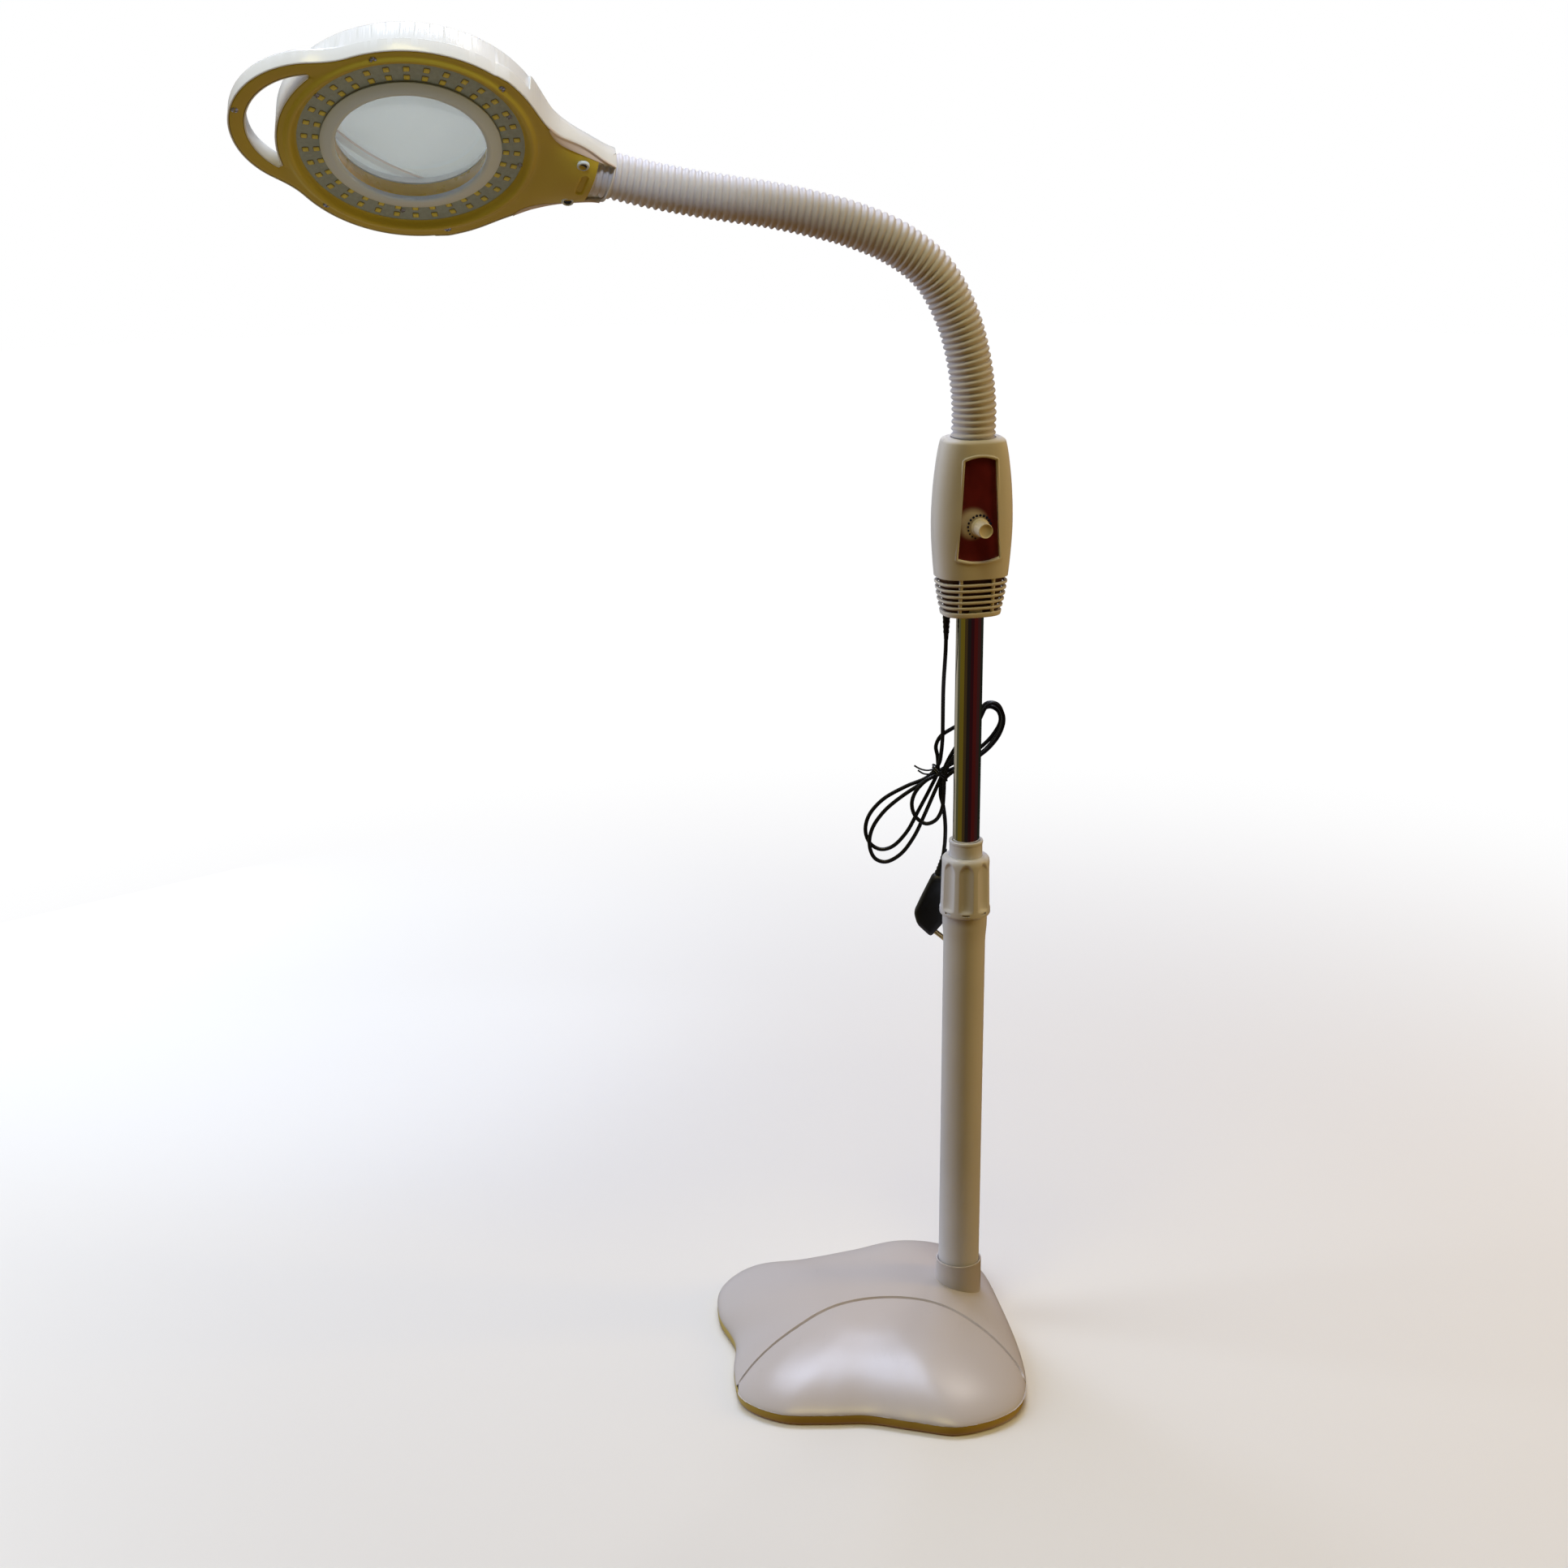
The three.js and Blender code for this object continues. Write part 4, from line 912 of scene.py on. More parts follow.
def make_box():
    """Two half shells; the front one has a recess for the panel."""
    shoulder, top_z = BOX_TOP - 3.2, BOX_TOP - 0.2
    levels = [GRILLE_TOP + 0.2] + spans(GRILLE_TOP + 1, shoulder, 40)
    for side, name, half in HALVES:
        outer = [box_ring(half, z) for z in levels]
        inner = [box_ring(half, z, WALL) for z in levels]
        # Rounded shoulder and flat top with the gooseneck's hole.
        for k in range(1, 7):
            t = k / 6 * pi / 2
            outer.append(box_ring(half, shoulder + 3.0 * sin(t), 2.6 * (1 - cos(t))))
        hole = [(NECK_HOLE * cos(a), NECK_HOLE * sin(a), top_z) for a in half]
        outer.append([tuple(Vector(p).lerp(Vector(q), 0.5)) for p, q in zip(outer[-1], hole)])
        outer += [hole, [(x, y, BOX_TOP - 3) for x, y, _ in hole]]
        rows = [inner[0], *outer, [(x, y, shoulder) for x, y, _ in inner[-1]], *inner[::-1]]
        rows = [[(x, y + side * 0.12, z) for x, y, z in row] for row in rows]
        shape = Mesh().grid(rows)
        # Flat faces where the two halves meet.
        for column in (0, -1):
            loop = [row[column] for row in rows[:-1]]
            shape.add(loop, [tuple(range(len(loop)))])
        obj = box_piece(shape, f"box_{name}", f"box_{name}_shell")
        if side < 0:
            recess = [[(x, y, z) for x, z in panel_outline(0)] for y in (-40, -8)]
            cut_away(obj, Mesh().tube(recess).build("tool", box_frame))
            smooth_shading(obj.data, 40)


def make_grille():
    """Six ribs round the foot of the box, carried by upright bars, in front of a dark sheet of
    painted shade inside.
    """
    for side, name, half in HALVES:
        ribs = Mesh()
        for k, z in enumerate(GRILLE_RIBS):
            high = 1.1 if k else 2.0
            section = rounded([(2.2, -high), (-0.3, -high), (-0.3, high), (2.2, high)],
                              [0, 0.9, 0.9, 0])
            rows = [[box_point(a, z + dz, inset) for inset, dz in section] for a in half]
            ribs.grid(rows, False, (True, True))
        # Upright bars behind the ribs.
        for x in (-13.4, 13.2):
            rows = []
            for z in spans(GRILLE_RIBS[0], GRILLE_TOP + 1, 14):
                y = box_surface_y(x, z, 0.9) * -side
                rows.append([(x + dx, y + side * dy, z) for dx, dy in GRILLE_BAR])
            ribs.tube(rows)
        box_piece(ribs, f"grille_{name}", crease=50)
    # Sheet behind the slots, dark with painted shade.
    inside = [box_ring(BOX_ANGLES, z, 3.6) for z in spans(BOX_BOTTOM + 2.4, GRILLE_TOP + 4, 12)]
    box_piece(Mesh().grid(inside, True), "grille_inside", crease=35, material=grille_painted_shade)
    rim = box_ring(BOX_ANGLES, BOX_BOTTOM + 2.3, 0.8)
    under = box_ring(BOX_ANGLES, BOX_BOTTOM + 0.3, 1.4)
    bore = [(11.4 * cos(a), 11.4 * sin(a), BOX_BOTTOM + 0.3) for a in BOX_ANGLES]
    upper = [[(x, y, BOX_BOTTOM + 3) for x, y, _ in ring] for ring in (bore, rim)]
    box_piece(Mesh().grid([rim, under, bore, *upper], True), "box_floor")


def make_panel():
    """Maroon plate at the bottom of the recess, the bead round it and the dial's dots."""
    middle = (PANEL_BOTTOM + PANEL_TOP) / 2
    rows = []
    for share in spans(0, 1, 16):
        scaled = [(x * share, middle + (z - middle) * share) for x, z in panel_outline(0.25, 20)]
        rows.append([(x, box_surface_y(x, z, PANEL_SINK), z) for x, z in scaled])
    rows.append([(x, y + 1.2, z) for x, y, z in rows[-1]])
    box_piece(Mesh().grid(rows, True), "panel_plate", "control_panel", 60, panel_plastic,
              "panel_maroon")
    bead, out = 1.15, Vector((0, -1, 0))
    path = [Vector((x, box_surface_y(x, z, -0.25), z)) for x, z in panel_outline(bead, 22)]
    rows = []
    for i, p in enumerate(path):
        side = (path[(i + 1) % len(path)] - path[i - 1]).normalized().cross(out).normalized()
        rows.append([p + bead * (u * out * 0.75 + v * side) for u, v in circle(1, 14)])
    box_piece(Mesh().grid(rows + rows[:1], True), "panel_lip", crease=70)
    dots = Mesh()
    for t in spans(0, 1, 13):
        angle, reach, r = radians(250 - 236 * t), 9.3, 0.75 + 0.45 * t
        x, z = reach * cos(angle), KNOB_HEIGHT + reach * sin(angle)
        y = box_surface_y(x, z, PANEL_SINK)
        dots.grid([[(u, y - lift, v) for u, v in circle(radius, 20, x, z)] for radius, lift in
                   ((0.02, 0.16), (r * 0.85, 0.15), (r, 0.08), (r, -0.2))], True)
    box_piece(dots, "dial_dots", None, 35, dot_ink, "panel_maroon")


# Radius, distance out of the panel, and how deep the ribs are, in shares.
KNOB_PROFILE = [
    (0.01, 15.0, 0), (4.5, 15.0, 0), (4.9, 15.3, 0), (5.1, 15.8, 0), (5.4, 16.0, 0),
    (5.75, 15.8, 0), (5.9, 15.3, 0.4), (5.95, 14.6, 1), (6.05, 10, 1), (6.15, 5, 1),
    (6.2, 3.6, 0.6), (6.3, 3.2, 0), (7.2, 2.8, 0), (7.4, 2.4, 0), (7.4, 0.9, 0), (5.6, 0.7, 0),
]


def make_knob():
    """Tapered, finely ribbed knob with a dished face."""
    ribs, sides, rib_depth = 30, 240, 0.16
    panel_face = -(BOX_HALF_DEPTH - 1.6)
    rows = []
    for r, out, amount in KNOB_PROFILE:
        row = []
        for i in range(sides):
            angle = TAU * i / sides
            radius = r - rib_depth * amount * (0.5 - 0.5 * cos(ribs * angle))
            row.append((radius * cos(angle), panel_face - out,
                        KNOB_HEIGHT + radius * sin(angle)))
        rows.append(row)
    box_piece(Mesh().grid(rows, True), "dimmer", "dimmer_knob", 40, knob_plastic, "knob_ivory",
              "knob")


def make_relief():
    """Tapered, ribbed sleeve round the lead below the box."""
    line = [Vector((-18.7, -1.35, z)) for z in spans(634, 606, 28)]
    radii = []
    for p in line:
        t = clamp((627 - p.z) / 21)
        radii.append(3.0 - 1.25 * t + (0.25 if 0.1 < t < 0.85 and int((627 - p.z) / 2) % 2 else 0))
    Mesh().tube(swept_rows(line, radii, 24)).piece(
        "lead_relief", black_rubber, "column", "rubber", "cord_gland", 50)


make_box()
make_grille()
make_panel()
make_knob()
make_relief()


# ---- gooseneck

RIB_DEPTH, SLEEVE_BORE = 1.75, 15.2
NECK_JOINTS = [70, 145, 220, 295, 370]  # places along the gooseneck
HIDDEN_IN_BOX, HIDDEN_IN_HEAD = 14, 12  # lengths of core that the sleeve leaves bare
BEND_HALF = 26  # how far to each side of a joint its end points are taken


def rib_radius(s, angle):
    """Rounded one-start thread with a narrow gap between its turns."""
    phase = (s / NECK_PITCH - angle / TAU) % 1
    return NECK_RADIUS - RIB_DEPTH * (0.5 + 0.5 * cos(TAU * phase)) ** 1.5


def make_gooseneck():
    """Ribbed sleeve in lengths that each span one joint."""
    line = smooth_line(NECK_LINE, 40)
    length = distances(line)[-1]
    middles = [(a + b) / 2 for a, b in zip(NECK_JOINTS, NECK_JOINTS[1:])]
    cuts = [HIDDEN_IN_BOX, *middles, length - HIDDEN_IN_HEAD]
    sides, fine = 72, 4000
    frames = frames_along(resample(line, spans(0, length, fine)))
    turns = [TAU * i / sides for i in range(sides)]

    def ring(s, radius):
        p, a, b = frames[min(fine, round(s / length * fine))]
        return [p + radius(s, t) * (cos(t) * a + sin(t) * b) for t in turns]

    for k, joint in enumerate(NECK_JOINTS):
        count = round((cuts[k + 1] - cuts[k]) / NECK_PITCH * 10)
        rows = [ring(s, rib_radius) for s in spans(cuts[k], cuts[k + 1], count)]
        rows += [ring(s, lambda s, t: SLEEVE_BORE) for s in spans(cuts[k + 1], cuts[k], 24)]
        sleeve = Mesh().grid(rows + rows[:1], True).piece(
            f"gooseneck_{k + 1}", sleeve_plastic, None, "sleeve_white", None, 60)
        last = k + 1 == len(NECK_JOINTS)
        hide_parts(f"neck_sleeve_{k + 1}", *(["neck_sleeve_6"] if last else []))
        ends = resample(line, [joint - BEND_HALF, joint + BEND_HALF])
        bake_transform(sleeve)


make_gooseneck()


# ---- head

head_frame = (
    Matrix.Translation(Vector(HEAD_CENTRE) * MM)
    @ Matrix.Rotation(pi + HEAD_TURN, 4, "Z")
    @ Matrix.Rotation(-HEAD_RISE, 4, "Y")
    @ Matrix.Rotation(HEAD_ROLL, 4, "X")
)
NECK_HALF = [(-150, 20.4), (-142, 23), (-125, 31.5), (-100, 42.5), (-81, 53), (-65, 68), (-50, 80)]
SPLIT = 8.0  # height of the joint between the two head shells
SEAM = 1.45
BACK = 29.0  # height of the head's flat back
COVER_EDGE, WELL = 82.2, 62.6
PLATE_END = -137
HANDLE_BLEND, NECK_BLEND = 10, 14  # how softly the bow and the neck flow into the round head
NECK_SLOPE = 0.86  # the neck's sides slant, which shortens the true distance to them
BELLY, HUMP = 18.6, 20.2  # how far the neck swells from its axis, below and above
SLOT_DEPTH = 1.7
SEAT = SPLIT + 0.35
RING_ROUND, BOW_ROUND, BOW_HEIGHT = 3.6, 3.2, 14.5
SLOT_X, SLOT_FROM, SLOT_TO, SLOT_HALF = -128.5, -5, 9.5, 2.3
RIDGE = [
    (82.2, 2.6), (83.2, 2.2), (84.6, 0.6), (85.8, -0.9), (86.9, -1.8), (88.1, -2.1), (89.3, -1.8),
    (90.4, -1.0), (91.4, -0.3), (92.4, 0), (200, 0),
]


def head_piece(shape, name, material, slot="shell_white", node=None, crease=35, body="head"):
    return shape.piece(name, material, body, slot, node, crease, head_frame)


def neck_half(x):
    """Half width of the neck."""
    return smooth_table(NECK_HALF, x)[0]


def soft_least(a, b, k):
    """The lesser of two distances, blended over a width k."""
    h = max(k - abs(a - b), 0) / k
    return min(a, b) - h * h * k / 4


def head_distance(x, y, end=NECK_END):
    """Signed distance to the head's outline; negative inside."""
    disc = hypot(x, y) - HEAD_RADIUS
    bow = hypot(x - HANDLE_CENTRE, y) - HANDLE_OUTER
    d = soft_least(disc, bow, HANDLE_BLEND)
    if x < -40:
        neck = (abs(y) - neck_half(max(x, NECK_END))) * NECK_SLOPE
        d = max(soft_least(d, neck, NECK_BLEND), end - x)
    return d


def last_inside(test, low, high, rounds):
    """The furthest place that passes a test, by halving."""
    for _ in range(rounds):
        mid = (low + high) / 2
        low, high = (mid, high) if test(mid) else (low, mid)
    return low


def outline_at(level, count=520, end=NECK_END):
    """Points round the head where the distance has a value, by shooting rays from its middle."""
    points = []
    for c, s in circle(1, count):
        r = last_inside(lambda r: head_distance(r * c, r * s, end) <= level, 40, 165, 26)
        points.append((r * c, r * s))
    return points


def crescent(count=150, tip=3.5):
    """Outline of the gap behind the bow, its tips rounded."""
    inner, outer = HEAD_RADIUS - 0.5, HANDLE_INNER
    x = (inner**2 - outer**2 + HANDLE_CENTRE**2) / (2 * HANDLE_CENTRE)
    y = sqrt(inner**2 - x * x)
    a, b = atan2(y, x), atan2(y, x - HANDLE_CENTRE)
    line = [(inner * cos(t), inner * sin(t)) for t in spans(a, -a, count)]
    tips = [Vector(line[0]), Vector(line[count])]
    line += [(HANDLE_CENTRE + outer * cos(t), outer * sin(t)) for t in spans(-b, b, count)][1:-1]
    ring = [Vector(p) for p in line if min((Vector(p) - t).length for t in tips) > tip]
    # Where points near a tip are gone, carry on round the corner as a cap.
    n = len(ring)
    lengths = [(ring[(i + 1) % n] - ring[i]).length for i in range(n)]
    typical = sorted(lengths)[n // 2]
    out = []
    for i, (a, length) in enumerate(zip(ring, lengths)):
        out.append(a)
        if length > 2.5 * typical:
            b = ring[(i + 1) % n]
            leave = a + (a - ring[i - 1]).normalized() * (length * 0.62)
            arrive = b - (ring[(i + 2) % n] - b).normalized() * (length * 0.62)
            out += [(1 - t) ** 3 * a + 3 * t * (1 - t) ** 2 * leave
                    + 3 * t * t * (1 - t) * arrive + t**3 * b for t in spans(0, 1, 12)[1:-1]]
    return [tuple(p) for p in out]


def inside_ring(ring, x, y):
    hit = False
    for (x1, y1), (x2, y2) in zip(ring, ring[1:] + ring[:1]):
        if (y1 > y) != (y2 > y) and x < (x2 - x1) * (y - y1) / (y2 - y1) + x1:
            hit = not hit
    return hit


def sheet_between(edge, holes, extra, spacing, keep):
    """Triangles that fill an outline with holes, with extra rings and a grid of inner points."""
    verts, edges = [], []
    for ring in (edge, *holes, *extra):
        start, n = len(verts), len(ring)
        verts += [Vector(p) for p in ring]
        edges += [(start + i, start + (i + 1) % n) for i in range(n)]
    x, row = -160.0, 0
    while x < 140:
        y = -110.0 + (spacing / 2 if row % 2 else 0)
        while y < 110:
            if keep(x, y):
                verts.append(Vector((x, y)))
            y += spacing
        x += spacing * 0.87
        row += 1
    verts, _, triangles, *_ = delaunay_2d_cdt(verts, edges, [], 0, 1e-4)
    faces = []
    for f in triangles:
        x, y = (sum(verts[i][k] for i in f) / len(f) for k in (0, 1))
        if inside_ring(edge, x, y) and not any(inside_ring(h, x, y) for h in holes):
            faces.append(tuple(f))
    return [tuple(v) for v in verts], faces


def edge_drop(distance, radius):
    """How far a rounded edge falls below the flat, at a distance in from it."""
    if distance >= radius:
        return 0.0
    return radius - sqrt(max(radius**2 - (radius - distance) ** 2, 0))


def bulge(x, y, high):
    """Height of the neck's rounded back or belly, which widens the gooseneck's seat."""
    share = min(abs(y) / neck_half(max(min(x, -50), NECK_END)), 1)
    return high * (1 - share**2.3) ** 0.5


def gap_distance(x, y):
    """How far the edge of the gap behind the bow is from a point on the head."""
    near = hypot(x, y) - (HEAD_RADIUS - 0.5)
    far = HANDLE_INNER - hypot(x - HANDLE_CENTRE, y)
    return max(-near, -far)


def slot_distance(x, y):
    """Signed distance to the slot in the neck's underside; negative inside."""
    return hypot(x - SLOT_X, y - min(max(y, SLOT_FROM), SLOT_TO)) - SLOT_HALF


def plate_height(x, y):
    """Underside of the head, with a rolled ridge round the lamps and a belly at the neck."""
    z = edge_drop(-head_distance(x, y) - SEAM, 1.0) if head_distance(x, y) > -SEAM - 1 else 0.0
    if x > 20:
        z = max(z, edge_drop(max(gap_distance(x, y) - SEAM, 0), 1.0))
    z += lerp_table(RIDGE, max(hypot(x, y), RIDGE[0][0]))
    if x < -84:
        t = smoothstep(-84, -128, x)
        z = z * (1 - t) + min(NECK_AXIS - bulge(x, y, BELLY), SPLIT - 0.6) * t
        z += SLOT_DEPTH * smoothstep(0.9, -0.5, slot_distance(x, y))
    return z


def on_plate(points):
    return [(x, y, plate_height(x, y)) for x, y in points]


def ring_offset(ring, distance):
    """A closed ring moved along its outward side."""
    out = []
    for i, p in enumerate(ring):
        d = (Vector(ring[(i + 1) % len(ring)]) - Vector(ring[i - 1])).normalized()
        out.append((p[0] + d.y * distance, p[1] - d.x * distance))
    return out


def stadium(grow, count=16):
    """Outline of the slot, grown by a distance."""
    radius = SLOT_HALF + grow
    return [(SLOT_X + radius * cos(t), y + radius * sin(t))
            for y, start in ((SLOT_TO, 0), (SLOT_FROM, pi))
            for t in spans(start, start + pi, count)]


def make_lower_cover():
    """Under plate of the head, set into the white shell."""
    edge = ring_offset(outline_at(0, 520, PLATE_END), -SEAM)
    gap = ring_offset(crescent(), SEAM)
    well = circle(COVER_EDGE, 260)
    extra = [ring_offset(edge, -d) for d in (0.35, 0.9, 3.2)]
    extra += [ring_offset(gap, d) for d in (0.35, 0.9)]
    extra += [circle(r, 260) for r, _ in RIDGE[1:-1]] + [stadium(d) for d in (-0.5, 0.0, 0.5, 0.9)]

    def keep(x, y):
        return (head_distance(x, y, PLATE_END) < -6 and hypot(x, y) > 93.5
                and gap_distance(x, y) > 4 and slot_distance(x, y) > 1.5)

    flat, faces = sheet_between(edge, [gap, well], extra, 4.2, keep)
    shape = Mesh().add(on_plate(flat), faces)
    for ring in (edge, gap, well):
        shape.grid([on_plate(ring), raised(ring, SPLIT - 0.2)], True)
    # The plate's olive-gold is painted shade.
    head_piece(shape, "head_plate", underside_painted_shade, "cover_khaki", "head_lower_cover", 40)


def back_height(x, y):
    """White back of the head: a deep ring, a thinner bow and a neck over the gooseneck."""
    r, d = hypot(x, y), max(-head_distance(x, y), 0)
    edge = BACK - edge_drop(d, RING_ROUND)
    if r < HEAD_RADIUS - 0.4:
        z = BACK - edge_drop(HEAD_RADIUS - 0.4 - r, RING_ROUND)
    else:
        z = BOW_HEIGHT - edge_drop(d, BOW_ROUND)
        if x > 20 and r > HEAD_RADIUS:
            z = min(z, BOW_HEIGHT - edge_drop(max(gap_distance(x, y), 0), BOW_ROUND))
    z = min(z, edge)
    if r < WELL + 1.8:
        z -= edge_drop(r - WELL, 1.8)
    if x < -70:
        t = smoothstep(-72, -122, x)
        z = edge * (1 - t) + max(NECK_AXIS + bulge(x, y, HUMP), SEAT + 0.5) * t
    return z


# How the shell's edge turns in under the plate: inset and height above the plate's edge.
TURN_IN = ((0, 0.9), (0.2, 0.35), (0.6, 0.05), (1.2, 0.05), (1.3, 0.6), (1.3, 3))


def make_upper_shell():
    """White back shell, with the bow handle and its edge turned in under the plate."""
    edge, gap, well = outline_at(0), crescent(), circle(WELL)
    extra = [outline_at(-d, 420) for d in (0.2, 0.6, 1.1, 1.7, 2.4, 3.3, 4.6, 6.5)]
    extra += [ring_offset(gap, d) for d in (0.2, 0.6, 1.2, 2.0, 3.0)]
    extra += [circle(WELL + d) for d in (0.3, 0.9, 1.8)]
    extra += [circle(HEAD_RADIUS - d, 300) for d in (0.6, 1.4, 2.4, 3.6)]

    def keep(x, y):
        r = hypot(x, y)
        return (head_distance(x, y) < -8 and r > WELL + 3 and gap_distance(x, y) > 4
                and abs(r - HEAD_RADIUS + 2) > 3.5)

    flat, faces = sheet_between(edge, [gap, well], extra, 4.0, keep)
    shape = Mesh().add([(x, y, back_height(x, y)) for x, y in flat], faces)
    for ring, inward in ((edge, -1), (gap, 1)):
        rows = [[(x, y, back_height(x, y)) for x, y in ring]]
        below = on_plate(ring_offset(ring, inward * (SEAM + 1.2)))
        for inset, lift in TURN_IN:
            moved = ring_offset(ring, inward * inset)
            rows.append([(x, y, min(z + lift, SEAT - 0.1))
                         for (x, y), (_, _, z) in zip(moved, below)])
        shape.grid(rows, True)
    shape.grid([[(x, y, back_height(x, y)) for x, y in well], raised(well, 19.0)], True)
    shape.add([(x, y, min(SEAT, back_height(x, y) - 0.2)) for x, y in flat], faces)
    head_piece(shape, "head_back", shell_plastic, node="head_upper_shell", crease=40)


def make_leaves():
    """Leaf-shaped pads let into the plate along both sides of the neck, in a beige of painted
    shade.
    """
    for side, name in ((1, "left"), (-1, "right")):
        rows = []
        for t in spans(0, 1, 60):
            x = -90 - 59 * t
            low = last_inside(lambda y: head_distance(x, y) < 0, 10, 110, 24)
            wide = max(7.4 * (sin(pi * t**0.55)) ** 0.7, 0.3)
            row = []
            for share in spans(0, 1, 10):
                y = low + 0.1 - (wide + 0.1) * share
                lift = 0.75 * (1 - abs(2 * share - 1) ** 6) - (0.6 if share in (0, 1) else 0)
                row.append((x, side * y, plate_height(x, min(y, low - SEAM - 1)) - lift))
            rows.append(row)
        # Pads coloured with beige painted shade.
        head_piece(Mesh().grid(rows), f"neck_leaf_{name}", leaf_painted_shade, crease=60)


LAMPS_PER_RING, LAMP_RINGS = 34, (68.8, 76.8)
BOARD_HEIGHT = 3.0  # of the board's face


def make_lamps():
    """Lamp board with two rings of light-emitting diodes under a clear ring."""
    board = Mesh().lathe([(61.9, 4.2), (61.9, BOARD_HEIGHT), (88.6, BOARD_HEIGHT), (88.6, 4.2),
                          (61.9, 4.2)], 180)
    head_piece(board, "lamp_board", led_board_grey, "inner_grey", "led_board")
    lamps, cases = Mesh(), Mesh()
    for radius in LAMP_RINGS:
        for i in range(LAMPS_PER_RING):
            turn = Matrix.Rotation(TAU * i / LAMPS_PER_RING, 4, "Z")
            place = turn @ at(radius, 0, BOARD_HEIGHT)
            for shape, w, h, low, high in ((cases, 2.6, 2.5, -0.5, 0.05),
                                           (lamps, 2.1, 2.0, -0.85, -0.45)):
                rows = []
                for z, shrink in ((high, 0), (low + 0.25, 0), (low, 0.3)):
                    u, v = w - shrink, h - shrink
                    corners = [(-u, -v), (u, -v), (u, v), (-u, v)]
                    rows.append(raised(rounded(corners, w * 0.45, 3, True), z))
                shape.grid(rows, True, (False, True), place)
    head_piece(lamps, "lamp_lenses", led_yellow, "clear_plastic")
    # Cases dark with painted shade.
    head_piece(cases, "lamp_cases", led_case_painted_shade, "inner_grey")
    ring = Mesh().lathe(rounded([(62.3, 2.2), (62.3, 1.5), (81.4, 1.5), (82.6, 2.2), (82.6, 2.9)],
                                [0, 0.3, 0.8, 0.4, 0]), 180)
    head_piece(ring, "lamp_cover", cover_milky, "clear_plastic", "light_cover")


LENS_RADIUS, LENS_HALF_EDGE, LENS_CROWN = 60, 1.5, 5


def make_lens():
    """Rim round the lens, the well behind it and the lens itself."""
    rim = Mesh().lathe(rounded(
        [(61.9, 3.4), (61.9, 1.4), (65.8, 1.4), (65.8, 0.6), (63.6, -0.4), (57.2, -2.5),
         (54.8, -1.8), (54.6, 0.2), (55.0, 2.4)],
        [0, 0.2, 0.2, 0.5, 1.2, 1.2, 1.0, 0.8, 0], 5), 180)
    head_piece(rim, "lens_rim", bezel_plastic, node="lens_bezel", crease=50)
    well = Mesh().lathe(
        [(55.0, 2.2), (56.2, 14.6), (56.6, 15.1), (61.6, 15.2), (61.6, 2.4), (55.0, 2.2)], 180)
    # The well's orange-gold is painted shade.
    head_piece(well, "lens_well", well_painted_shade)
    shares = spans(0, 1, 24)
    profile = [(max(LENS_RADIUS * t, 0.01),
                LENS_HEIGHT + side * (LENS_HALF_EDGE + LENS_CROWN * (1 - t * t)))
               for side, ts in ((-1, shares), (1, shares[::-1])) for t in ts]
    head_piece(Mesh().lathe(profile, 180), "magnifier", lens_clear, "lens_glass", "lens", 30)


# Curved step across the lid: centre and radius, in the head's own plane.
LID_X, LID_Y, LID_STEP = -65.5, 149.2, 208.5
LID_RADIUS, LID_SIDES = 67.6, 220
HINGE_X, HINGE_Z = -76, 33


def lid_rows():
    """Top and underside of the dished sheet, then its rim between them."""
    top, under = [], []
    for k in spans(0, 1, 70):
        r = max(LID_RADIUS * k, 0.01)
        crown = 31.0 + 1.2 * (1 - (r / LID_RADIUS) ** 2)
        upper, lower = [], []
        for x, y in circle(r, LID_SIDES):
            across = hypot(x - LID_X, y - LID_Y) - LID_STEP
            step = 0.9 * smoothstep(-1.6, 1.6, across) + 0.9 * exp(-((across + 2.6) / 1.1) ** 2)
            upper.append((x, y, crown + 0.5 - step * 0.4))
            lower.append((x, y, crown - 0.9 - step))
        top.append(upper)
        under.append(lower)
    rim = ((68.8, 31.2), (69.6, 30.7), (69.8, 30.2), (69.6, 29.8), (69.0, 29.6))
    return top + [raised(circle(r, LID_SIDES), z) for r, z in rim] + under[::-1]


